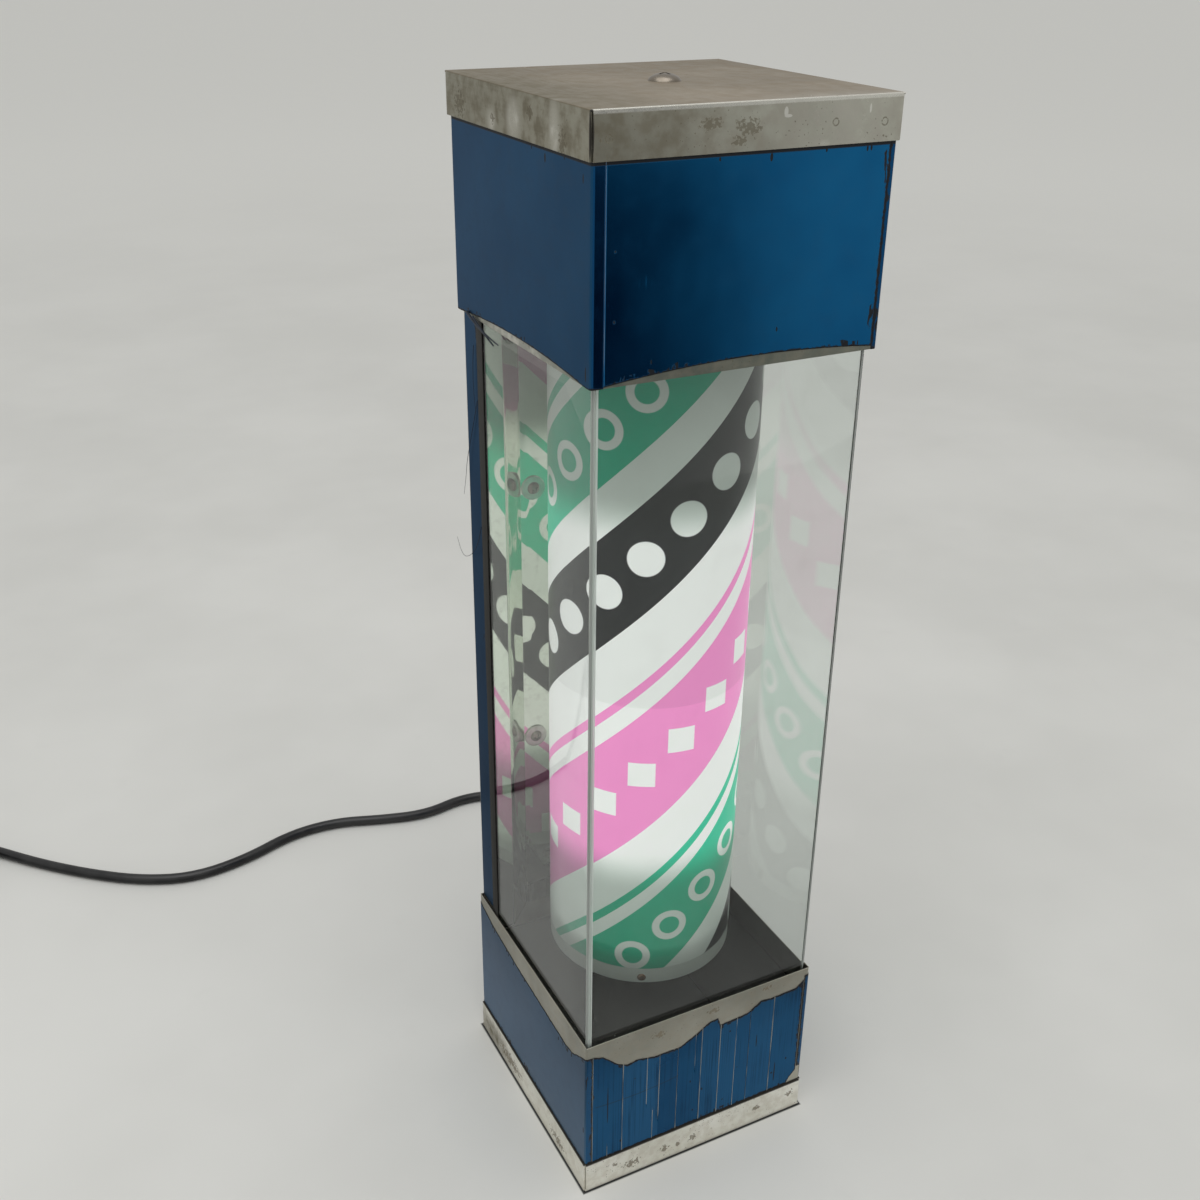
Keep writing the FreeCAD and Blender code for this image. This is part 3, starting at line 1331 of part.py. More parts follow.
def coilSpot(turns):
    # Radius and height of the cord after so many turns from the start
    if turns < layerTurns:
        return coilRadius - coilPitch * turns, onTies
    if turns < layerTurns + climbTurns:
        climbed = math.pi * (turns - layerTurns) / climbTurns
        return innerRadius - climbInset * math.sin(climbed), onTies + coilPitch * (1 - math.cos(climbed)) / 2
    return innerRadius + coilPitch * (turns - layerTurns - climbTurns), onTies + coilPitch


def coilPoint(turns):
    radius, height = coilSpot(turns)
    angle = startAngle + 2 * math.pi * turns
    spoke = FreeCAD.Vector(radius * math.cos(angle), radius * math.sin(angle), height - coilCentre.z)
    return coilCentre + spoke


def coilHeading(turns):
    step = 1e-4
    return (coilPoint(turns + step) - coilPoint(turns - step)).normalize()


def evenSteps(first, last, most):
    count = math.ceil((last - first) / most)
    return [first + (last - first) * number / count for number in range(count + 1)]


quarter = 0.25
climbStart = layerTurns
climbEnd = layerTurns + climbTurns
coilTurns = evenSteps(0, climbStart, quarter)
coilTurns += evenSteps(climbStart, climbEnd, quarter / 2)[1:]
coilTurns += evenSteps(climbEnd, spareTurns, quarter)[1:]
edges = [Part.LineSegment(cordEnd, coilStart).toShape()]
place = coilStart
heading = cordHeading
for turns in coilTurns[1:]:
    following = coilPoint(turns)
    arrival = coilHeading(turns)
    edges += biarc(place, heading, following, arrival)
    place = following
    heading = arrival
plugHigh = sizes["plugHalfThick"]
tailEnd = FreeCAD.Vector(place.x, place.y - sizes["tailLong"], plugHigh)
straightOn = FreeCAD.Vector(0, -1, 0)
edges += biarc(place, heading, tailEnd, straightOn)
plugStart = tailEnd + straightOn * (2 * cordRadius)
edges.append(Part.LineSegment(tailEnd, plugStart).toShape())
coilPath = Part.Wire(edges)
keep(feature("cord_coil", tubeAlong("cord coil", coilPath, cordRadius)))


def leastGap(path, radius):
    # Least free distance between two stretches of one tube that aren't neighbours along it
    count = int(path.Length / 2)
    spots = path.discretize(Number=count)
    step = path.Length / (count - 1)
    apart = int(6 * radius / step)
    least = path.Length
    for number, spot in enumerate(spots):
        for other in spots[number + apart :]:
            least = min(least, spot.distanceToPoint(other))
    return least - 2 * radius


print("cord coil: %.2f turns, least gap to itself %.2f mm" % (spareTurns, leastGap(coilPath, cordRadius)))
print("cord: %.0f mm in all" % (cordPath.Length + coilPath.Length))

# Two ties round the coil
tieThick = sizes["tieThick"]
tieWide = sizes["tieWide"]
tieSlack = sizes["tieSlack"]
bandInner = innerRadius - climbInset - cordRadius - tieSlack
bandOuter = coilRadius + cordRadius + tieSlack
bandTop = onTies + coilPitch + cordRadius + tieSlack / 2
bandLong = bandOuter - bandInner
ties = []
for angle in (110, 290):
    holeCorner = FreeCAD.Vector(bandInner, -1, tieThick)
    hole = Part.makeBox(bandLong, tieWide + 2, bandTop - tieThick, holeCorner)
    corner = FreeCAD.Vector(bandInner - tieThick, 0, 0)
    band = Part.makeBox(bandLong + 2 * tieThick, tieWide, bandTop + tieThick, corner).cut(hole)
    band.translate(FreeCAD.Vector(0, -tieWide / 2, 0))
    band.rotate(FreeCAD.Vector(), FreeCAD.Vector(0, 0, 1), angle)
    band.translate(FreeCAD.Vector(coilCentre.x, coilCentre.y, 0))
    ties.append(band)
keep(feature("cord_ties", Part.makeCompound(ties)))

# Plug with its tapered neck, lying on the floor beside the coil, and its two flat pins
plugFront = plugStart.y - sizes["plugNeckLong"] - sizes["plugLong"]
plugCorner = FreeCAD.Vector(plugStart.x - sizes["plugHalfWide"], plugFront, 0)
plugLong = sizes["plugLong"]
plugBody = Part.makeBox(2 * sizes["plugHalfWide"], plugLong, 2 * plugHigh, plugCorner)
lengthwise = [edge for edge in plugBody.Edges if edge.BoundBox.YLength > plugLong - 1]
plugBody = plugBody.makeFillet(sizes["plugFillet"], lengthwise)
neck = Part.makeCone(cordRadius + 0.75, plugHigh - 1.5, sizes["plugNeckLong"] + 1, plugStart, straightOn)
keep(feature("plug_body", plugBody.fuse(neck).removeSplitter()))
blades = []
pinThick = sizes["pinThick"]
pinWide = sizes["pinWide"]
for side in (-1, 1):
    middle = plugStart.x + side * sizes["pinSpacing"] / 2
    low = FreeCAD.Vector(middle - pinThick / 2, plugFront - sizes["pinLong"], plugHigh - pinWide / 2)
    blades.append(Part.makeBox(pinThick, sizes["pinLong"], pinWide, low))
keep(feature("plug_pins", Part.makeCompound(blades)))

doc.recompute()
faults = []
for piece in doc.Objects:
    if "Invalid" in piece.State or "Error" in piece.State:
        faults.append("%s is %s" % (piece.Label, piece.State))
for piece in kept:
    if piece.Shape.isNull() or not piece.Shape.isValid() or not piece.Shape.Solids:
        faults.append("%s has no sound shape" % piece.Label)
if faults:
    raise SystemExit("\n".join(faults))

os.makedirs("parts", exist_ok=True)
for piece in kept:
    piece.Shape.exportStep("parts/%s.step" % piece.Label)
print("%d pieces written" % len(kept))
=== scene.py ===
import bisect
import math
import random

import bmesh
import bpy
from mathutils import Matrix, Vector, noise


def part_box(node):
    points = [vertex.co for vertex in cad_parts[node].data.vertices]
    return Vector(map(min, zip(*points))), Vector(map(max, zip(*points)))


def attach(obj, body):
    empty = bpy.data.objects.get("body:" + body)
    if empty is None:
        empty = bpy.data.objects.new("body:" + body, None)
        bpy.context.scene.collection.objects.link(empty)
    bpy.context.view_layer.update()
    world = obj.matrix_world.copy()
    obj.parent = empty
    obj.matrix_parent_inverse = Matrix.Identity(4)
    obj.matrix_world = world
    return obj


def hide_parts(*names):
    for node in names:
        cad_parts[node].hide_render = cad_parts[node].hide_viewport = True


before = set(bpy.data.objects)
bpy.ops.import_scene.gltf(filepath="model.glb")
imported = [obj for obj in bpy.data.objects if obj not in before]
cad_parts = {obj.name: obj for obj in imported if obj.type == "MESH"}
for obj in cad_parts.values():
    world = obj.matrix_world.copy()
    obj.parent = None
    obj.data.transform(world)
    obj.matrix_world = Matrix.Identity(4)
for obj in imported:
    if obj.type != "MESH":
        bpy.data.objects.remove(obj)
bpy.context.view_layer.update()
print("frame loaded:", len(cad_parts), "nodes")

# Barber pole: a square column of filmed steel sheet with a lit, turning drum behind a bent clear window.
# Metres, +Z up, origin at the bottom centre of the base tray, the front face towards -Y.

mm = 0.001
drumBody = "drum"
scene = bpy.context.scene


# Small helpers for meshes

def addPiece(name, mesh, material, body="root", replaced=()):
    piece = bpy.data.objects.new(name, mesh)
    scene.collection.objects.link(piece)
    mesh.materials.clear()
    mesh.materials.append(material)
    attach(piece, body)
    if replaced:
        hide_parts(*replaced)
    return piece


def meshFrom(name, points, faces, smooth=True, sharpAngle=32):
    mesh = bpy.data.meshes.new(name)
    mesh.from_pydata([tuple(point) for point in points], [], faces)
    shadeMesh(mesh, smooth, sharpAngle)
    return mesh


def shadeMesh(mesh, smooth=True, sharpAngle=32):
    mesh.polygons.foreach_set("use_smooth", [smooth] * len(mesh.polygons))
    if smooth:
        mesh.set_sharp_from_angle(angle=math.radians(sharpAngle))
    mesh.update()


def outward(mesh, sharpAngle, merge=0):
    # Joins corners that coincide and turns every face outwards
    work = bmesh.new()
    work.from_mesh(mesh)
    if merge:
        bmesh.ops.remove_doubles(work, verts=work.verts, dist=merge)
    bmesh.ops.recalc_face_normals(work, faces=work.faces)
    work.to_mesh(mesh)
    work.free()
    shadeMesh(mesh, True, sharpAngle)


def bevelled(piece, width, segments=2, angle=None):
    # Rounds the edges sharper than an angle, or without one those that carry a weight
    bevel = piece.modifiers.new("Edges", "BEVEL")
    bevel.limit_method = "ANGLE" if angle else "WEIGHT"
    if angle:
        bevel.angle_limit = math.radians(angle)
    bevel.width = width
    bevel.segments = segments
    bevel.harden_normals = True


def thickened(piece, thick, side):
    wall = piece.modifiers.new("Thickness", "SOLIDIFY")
    wall.thickness = thick
    wall.offset = side


def lathe(name, profile, sides, sharpAngle):
    # An outline of (radius, height) turned round Z
    points = []
    faces = []
    for turn in range(sides):
        angle = 2 * math.pi * turn / sides
        points += [(radius * math.cos(angle), radius * math.sin(angle), height) for radius, height in profile]
        following = (turn + 1) % sides
        for step in range(len(profile) - 1):
            first = turn * len(profile) + step
            second = following * len(profile) + step
            faces.append((first, second, second + 1, first + 1))
    mesh = meshFrom(name, points, faces, False)
    outward(mesh, sharpAngle, 1e-7)
    return mesh


def bentPath(corners, radius, spacing, arcSteps=6):
    # A line in plan with rounded corners and points no further apart than the spacing
    corners = [Vector(corner) for corner in corners]
    stops = [corners[0]]
    for before, corner, after in zip(corners, corners[1:], corners[2:]):
        back = (before - corner).normalized()
        ahead = (after - corner).normalized()
        half = back.angle(ahead) / 2
        reach = radius / math.tan(half)
        centre = corner + (back + ahead).normalized() * (radius / math.sin(half))
        first = corner + back * reach - centre
        last = corner + ahead * reach - centre
        turn = first.angle_signed(last)
        for step in range(arcSteps + 1):
            stops.append(centre + Matrix.Rotation(-turn * step / arcSteps, 2) @ first)
    stops.append(corners[-1])
    path = [stops[0]]
    for stop in stops[1:]:
        run = stop - path[-1]
        pieces = max(1, math.ceil(run.length / spacing))
        start = path[-1]
        path += [start + run * number / pieces for number in range(1, pieces + 1)]
    return path


def pathNormals(path, side):
    # Unit directions out of a plan line, on its left where side is 1 and on its right where it is -1
    normals = []
    for number in range(len(path)):
        along = (path[min(number + 1, len(path) - 1)] - path[max(number - 1, 0)]).normalized()
        normals.append(Vector((-along.y, along.x)) * side)
    return normals


def upright(name, path, thick, low, high):
    # A closed upright sheet on the right side of a plan line
    points = []
    for point, out in zip(path, pathNormals(path, -1)):
        for spot in (point, point + out * thick):
            points += [(spot.x, spot.y, low), (spot.x, spot.y, high)]
    loop = [0, 1, 3, 2]
    faces = []
    for first in range(0, 4 * (len(path) - 1), 4):
        for spot, following in zip(loop, loop[1:] + loop[:1]):
            faces.append((first + spot, first + following, first + 4 + following, first + 4 + spot))
    last = 4 * (len(path) - 1)
    faces += [(0, 2, 3, 1), (last, last + 1, last + 3, last + 2)]
    mesh = meshFrom(name, points, faces, False)
    outward(mesh, 32)
    return mesh


def mergedCopy(node):
    work = bmesh.new()
    work.from_mesh(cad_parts[node].data)
    bmesh.ops.remove_doubles(work, verts=work.verts, dist=1e-6)
    return work


def reworked(node, material, fold=1.5 * mm, sheet=1.0 * mm):
    # The node's own shape with its bends rounded and its cut edges broken
    cut = 0.2 * mm
    work = mergedCopy(node)
    bmesh.ops.dissolve_limit(work, angle_limit=math.radians(0.4), verts=work.verts, edges=work.edges)
    weights = work.edges.layers.float.new("bevel_weight_edge")
    for edge in work.edges:
        if len(edge.link_faces) != 2 or edge.calc_face_angle(0) < math.radians(30):
            continue
        widths = [2 * face.calc_area() / face.calc_perimeter() for face in edge.link_faces]
        if min(widths) < 2 * sheet:
            edge[weights] = cut / fold
        elif edge.is_convex:
            edge[weights] = 1
        else:
            edge[weights] = max(fold - sheet, cut) / fold
    mesh = bpy.data.meshes.new(node + "_skin")
    work.to_mesh(mesh)
    work.free()
    shadeMesh(mesh, True, 30)
    bevelled(addPiece(node + "_skin", mesh, material, replaced=(node,)), fold, 3)


def dressed(node, material, edge):
    # A CAD node keeps its shape and gets its finish and lightly broken edges
    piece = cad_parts[node]
    piece.data.materials.clear()
    piece.data.materials.append(material)
    piece.data.polygons.foreach_set("use_smooth", [True] * len(piece.data.polygons))
    weld = piece.modifiers.new("Weld", "WELD")
    weld.merge_threshold = 0.001 * mm
    planar = piece.modifiers.new("Planar", "DECIMATE")
    planar.decimate_type = "DISSOLVE"
    planar.angle_limit = math.radians(0.4)
    bevelled(piece, edge, 2, 32)


def islandBoxes(node):
    # Lowest and highest corner of each separate solid in a node
    work = mergedCopy(node)
    left = set(work.verts)
    boxes = []
    while left:
        found = [left.pop()]
        group = []
        while found:
            vertex = found.pop()
            group.append(vertex.co.copy())
            for edge in vertex.link_edges:
                other = edge.other_vert(vertex)
                if other in left:
                    left.remove(other)
                    found.append(other)
        low = Vector([min(point[axis] for point in group) for axis in range(3)])
        high = Vector([max(point[axis] for point in group) for axis in range(3)])
        boxes.append((low, high))
    work.free()
    return sorted(boxes, key=lambda pair: tuple(pair[0]))


# Small helpers for shader trees

def join(tree, socket, value):
    if isinstance(value, bpy.types.NodeSocket):
        tree.links.new(value, socket)
    else:
        socket.default_value = value


def put(tree, kind, inputs=None, **settings):
    node = tree.nodes.new(kind)
    for name, value in settings.items():
        setattr(node, name, value)
    for name, value in (inputs or {}).items():
        join(tree, node.inputs[name], value)
    return node


def calc(tree, operation, first, second=0.0, clamp=False):
    node = put(tree, "ShaderNodeMath", {0: first, 1: second}, operation=operation, use_clamp=clamp)
    return node.outputs[0]


def plus(tree, first, second, clamp=False):
    return calc(tree, "ADD", first, second, clamp)


def minus(tree, first, second):
    return calc(tree, "SUBTRACT", first, second)


def times(tree, first, second):
    return calc(tree, "MULTIPLY", first, second)


def larger(tree, first, second):
    return calc(tree, "MAXIMUM", first, second)


def under(tree, first, second):
    return calc(tree, "LESS_THAN", first, second)


def apart(tree, first, second):
    # How far one value is from another
    return calc(tree, "ABSOLUTE", minus(tree, first, second))


def parts(tree, spot):
    return put(tree, "ShaderNodeSeparateXYZ", {0: spot}).outputs


def named(tree, attribute):
    return put(tree, "ShaderNodeAttribute", attribute_name=attribute).outputs["Fac"]


def noiseAt(tree, spot, scale, detail):
    inputs = {"Vector": spot, "Scale": scale, "Detail": detail}
    return put(tree, "ShaderNodeTexNoise", inputs).outputs["Fac"]


def scaledBy(tree, spot, factors):
    return put(tree, "ShaderNodeVectorMath", {0: spot, 1: factors}, operation="MULTIPLY").outputs[0]


def mixed(tree, factor, first, second, mode="MIX"):
    node = put(tree, "ShaderNodeMix", {0: factor, 6: first, 7: second}, data_type="RGBA", blend_type=mode)
    return node.outputs[2]


def ranged(tree, value, low, high, toLow=0.0, toHigh=1.0, soft=True):
    inputs = {"Value": value, "From Min": low, "From Max": high, "To Min": toLow, "To Max": toHigh}
    kind = "SMOOTHSTEP" if soft else "LINEAR"
    return put(tree, "ShaderNodeMapRange", inputs, interpolation_type=kind).outputs["Result"]


def colour(red, green, blue):
    return (red, green, blue, 1.0)


def newGroup(name, inputs, outputs):
    tree = bpy.data.node_groups.new(name, "ShaderNodeTree")
    for label, kind, value in inputs:
        socket = tree.interface.new_socket(label, in_out="INPUT", socket_type=kind)
        if value is not None:
            socket.default_value = value
    for label, kind in outputs:
        tree.interface.new_socket(label, in_out="OUTPUT", socket_type=kind)
    return tree, tree.nodes.new("NodeGroupInput").outputs, tree.nodes.new("NodeGroupOutput").inputs


def placed(tree, group, inputs):
    return put(tree, "ShaderNodeGroup", inputs, node_tree=group).outputs


number = "NodeSocketFloat"
vector = "NodeSocketVector"


def cloudGroup():
    # Soft patches that fade in between two levels of a noise
    tree, given, out = newGroup(
        "softPatches",
        [("Vector", vector, None), ("Scale", number, 20.0), ("Detail", number, 3.0), ("Low", number, 0.4),
         ("High", number, 0.6)],
        [("Mask", number)],
    )
    inputs = {"Vector": given["Vector"], "Scale": given["Scale"], "Detail": given["Detail"], "Roughness": 0.6}
    field = put(tree, "ShaderNodeTexNoise", inputs).outputs["Fac"]
    tree.links.new(ranged(tree, field, given["Low"], given["High"]), out["Mask"])
    return tree


def speckGroup():
    # Small ragged spots of rust or dirt that gather in some places
    tree, given, out = newGroup(
        "clusteredSpecks",
        [("Vector", vector, None), ("Scale", number, 700.0), ("Amount", number, 0.3), ("Size", number, 0.34)],
        [("Mask", number)],
    )
    spot = given["Vector"]
    ragged = put(tree, "ShaderNodeTexNoise", {"Vector": spot, "Scale": given["Scale"], "Detail": 2.0})
    pushed = scaledBy(tree, ragged.outputs["Color"], (0.0012, 0.0012, 0.0012))
    place = put(tree, "ShaderNodeVectorMath", {0: spot, 1: pushed}, operation="ADD").outputs[0]
    cells = put(tree, "ShaderNodeTexVoronoi", {"Vector": place, "Scale": given["Scale"]}, feature="F1")
    wide = noiseAt(tree, spot, times(tree, given["Scale"], 0.06), 4.0)
    chance = put(tree, "ShaderNodeSeparateColor", {"Color": cells.outputs["Color"]}).outputs[0]
    crowd = ranged(tree, wide, 0.44, 0.68, 0.05, 2.4)
    chosen = under(tree, chance, times(tree, given["Amount"], crowd))
    inside = ranged(tree, cells.outputs["Distance"], given["Size"], times(tree, given["Size"], 0.45))
    tree.links.new(times(tree, inside, chosen), out["Mask"])
    return tree


def scratchGroup():
    # Thin broken lines along one direction of a stretched noise
    tree, given, out = newGroup(
        "thinScratches",
        [("Vector", vector, None), ("Stretch", vector, (900.0, 900.0, 12.0)), ("Turn", vector, (0, 0, 0)),
         ("Amount", number, 0.5), ("Width", number, 0.012)],
        [("Mask", number)],
    )
    turned = put(tree, "ShaderNodeVectorRotate", {"Vector": given["Vector"], "Rotation": given["Turn"]},
                 rotation_type="EULER_XYZ").outputs[0]
    scaled = scaledBy(tree, turned, given["Stretch"])
    lines = noiseAt(tree, scaled, 1.0, 1.0)
    gaps = noiseAt(tree, given["Vector"], 45.0, 2.0)
    crest = ranged(tree, apart(tree, lines, 0.5), given["Width"], 0.0)
    broken = ranged(tree, gaps, minus(tree, 0.75, times(tree, given["Amount"], 0.3)), 0.8)
    tree.links.new(times(tree, crest, broken), out["Mask"])
    return tree


def grainGroup():
    # Fine lines of a brushed or rolled sheet
    tree, given, out = newGroup(
        "rolledGrain",
        [("Vector", vector, None), ("Stretch", vector, (60.0, 60.0, 3000.0))],
        [("Grain", number)],
    )
    field = noiseAt(tree, scaledBy(tree, given["Vector"], given["Stretch"]), 1.0, 3.0)
    tree.links.new(field, out["Grain"])
    return tree


def nearGroup():
    # How near a spot is to a place, from 0 at the reach to 1 at the place, each axis with its own weight
    tree, given, out = newGroup(
        "nearPlace",
        [("Vector", vector, None), ("Place", vector, None), ("Weight", vector, (1.0, 1.0, 1.0)),
         ("Reach", number, 0.01)],
        [("Mask", number), ("Distance", number)],
    )
    between = {0: given["Vector"], 1: given["Place"]}
    gap = put(tree, "ShaderNodeVectorMath", between, operation="SUBTRACT").outputs[0]
    weighed = scaledBy(tree, gap, given["Weight"])
    far = put(tree, "ShaderNodeVectorMath", {0: weighed}, operation="LENGTH").outputs["Value"]
    tree.links.new(ranged(tree, far, given["Reach"], 0.0), out["Mask"])
    tree.links.new(far, out["Distance"])
    return tree


softPatches = cloudGroup()
clusteredSpecks = speckGroup()
thinScratches = scratchGroup()
rolledGrain = grainGroup()
nearPlace = nearGroup()


def startMaterial(name):
    material = bpy.data.materials.new(name)
    material.use_nodes = True
    tree = material.node_tree
    tree.nodes.clear()
    spot = put(tree, "ShaderNodeTexCoord").outputs["Object"]
    surface = put(tree, "ShaderNodeBsdfPrincipled")
    put(tree, "ShaderNodeOutputMaterial", {"Surface": surface.outputs[0]})
    return material, tree, spot, surface


def patches(tree, spot, scale, low=0.4, high=0.6, detail=3.0):
    inputs = {"Vector": spot, "Scale": scale, "Low": low, "High": high, "Detail": detail}
    return placed(tree, softPatches, inputs)[0]


def specksAt(tree, spot, scale, amount, size):
    inputs = {"Vector": spot, "Scale": scale, "Amount": amount, "Size": size}
    return placed(tree, clusteredSpecks, inputs)[0]


def bump(tree, height, distance, strength=1.0, normal=None):
    inputs = {"Height": height, "Distance": distance, "Strength": strength}
    if normal is not None:
        inputs["Normal"] = normal
    return put(tree, "ShaderNodeBump", inputs).outputs[0]


def near(tree, spot, place, reach, weight=(1.0, 1.0, 1.0)):
    return placed(tree, nearPlace, {"Vector": spot, "Place": place, "Weight": weight, "Reach": reach})


def creased(tree, height, levels, spread):
    # Dark lines at these heights where one sheet meets another or stands on the floor: dirt and painted shade
    total = 0.0
    for level in levels:
        away = apart(tree, height, level * mm)
        total = plus(tree, total, ranged(tree, away, spread * mm, 0.2 * spread * mm), True)
    return total


def marksAt(tree, spot, places):
    # How near a spot is to the nearest of some marks, each a place and a reach in millimetres, and a weight
    # for each axis where the mark isn't round
    total = 0.0
    for place, reach, *weight in places:
        mark = near(tree, spot, [value * mm for value in place], reach * mm, *weight)[0]
        total = larger(tree, total, mark)
    return total


def steelFinish(name, look):
    # Stainless sheet: cloudy tone, rolled grain, rust smears and specks, fine scratches, darker and brighter
    # areas that are partly painted reflection, and dirt and painted shade in the seams, creases and on inner
    # faces
    material, tree, spot, surface = startMaterial(name)
    place = parts(tree, spot)
    height = place[2]
    ragged = noiseAt(tree, spot, 650.0, 4.0)
    wide = patches(tree, spot, look["cloudScale"], 0.3, 0.7, 5.0)
    fine = patches(tree, spot, look["cloudScale"] * 9, 0.35, 0.7, 4.0)
    tone = mixed(tree, wide, look["dark"], look["light"])
    rough = look["rough"]
    if "lidFrom" in look:
        flatTop = ranged(tree, height, look["lidFrom"] * mm, (look["lidFrom"] + 0.5) * mm)
        lid = mixed(tree, patches(tree, spot, 9.0, 0.3, 0.72, 5.0), look["lidDark"], look["lidLight"])
        tone = mixed(tree, flatTop, tone, lid)
        rough = plus(tree, rough, times(tree, flatTop, look["lidRough"] - look["rough"]))
    tone = mixed(tree, times(tree, fine, look["mottle"]), tone, look["stain"])
    # Darker areas: on the cap the wide one in front of the rim's left half is painted reflection
    darkArea = times(tree, marksAt(tree, spot, look["darkAreas"]), ranged(tree, fine, 0.0, 1.0, 0.7, 1.0))
    tone = mixed(tree, darkArea, tone, look["darkArea"])
    # Brighter areas, joined below by the fold highlight: the wide one on the cap's front rim is painted
    # reflection
    brightening = times(tree, marksAt(tree, spot, look["brightAreas"]), ranged(tree, fine, 0.0, 1.0, 0.35, 0.8))
    # Painted highlight along the front half of the lid's front fold
    if "foldHighlightFrom" in look:
        onFold = ranged(tree, height, look["foldHighlightFrom"] * mm, (look["foldHighlightFrom"] + 0.7) * mm)
        onFront = ranged(tree, place[1], look["foldHighlightFront"] * mm, (look["foldHighlightFront"] - 0.4) * mm)
        brightening = larger(tree, brightening, times(tree, times(tree, onFold, onFront), 0.85))
    tone = mixed(tree, brightening, tone, look["bright"])
    specks = specksAt(tree, spot, look["speckScale"], look["specks"], 0.3)
    smears = plus(tree, times(tree, marksAt(tree, spot, look["smears"]), 0.36), ragged)
    covered = larger(tree, specks, ranged(tree, smears, 0.70, 0.78))
    for middle, radius in look["rings"]:
        far = near(tree, spot, [value * mm for value in middle], 5 * mm)[1]
        away = apart(tree, far, radius * mm)
        ring = times(tree, ranged(tree, away, 0.45 * mm, 0.15 * mm), ranged(tree, ragged, 0.4, 0.5))
        covered = larger(tree, covered, ring)
    tone = mixed(tree, times(tree, covered, look["rustDepth"]), tone, look["rust"])
    grain = placed(tree, rolledGrain, {"Vector": spot, "Stretch": look["grain"]})[0]
    scratches = placed(tree, thinScratches, {"Vector": spot, "Stretch": look["scratch"], "Turn": look["turn"],
                                             "Amount": look["scratches"]})[0]
    nicks = ranged(tree, marksAt(tree, spot, look["nicks"]), 0.2, 0.4)
    scratches = larger(tree, times(tree, scratches, 0.5), nicks)
    tone = mixed(tree, scratches, tone, look["bright"])
    # Dark lines along the creases and seams, and dark inner faces: dirt and painted shade
    shadeAndDirt = creased(tree, height, look["creases"], look["creaseSpread"])
    shadeAndDirt = larger(tree, shadeAndDirt, ranged(tree, marksAt(tree, spot, look["seams"]), 0.3, 0.5))
    # Inner faces of the walls painted dark: painted shade inside the casing
    if "inside" in look:
        inX = under(tree, calc(tree, "ABSOLUTE", place[0]), look["inside"][0] * mm)
        inY = under(tree, calc(tree, "ABSOLUTE", place[1]), look["inside"][1] * mm)
        shadeAndDirt = larger(tree, shadeAndDirt, times(tree, inX, inY))
    tone = mixed(tree, shadeAndDirt, tone, look["crease"])
    join(tree, surface.inputs["Base Color"], tone)
    covered = larger(tree, covered, shadeAndDirt)
    join(tree, surface.inputs["Metallic"], ranged(tree, covered, 0.0, 1.0, look["metal"], 0.15))
    rough = plus(tree, rough, ranged(tree, grain, 0.3, 0.7, -0.05, 0.06, False))
    rough = minus(tree, rough, times(tree, brightening, 0.12))
    rough = plus(tree, rough, times(tree, fine, 0.1), True)
    join(tree, surface.inputs["Roughness"], plus(tree, rough, times(tree, covered, 0.3), True))
    waves = noiseAt(tree, spot, 14.0, 2.0)
    normal = bump(tree, waves, 0.6 * mm, 0.4)
    normal = bump(tree, minus(tree, grain, times(tree, covered, 0.6)), 0.02 * mm, 0.6, normal)
    join(tree, surface.inputs["Normal"], normal)
    return material


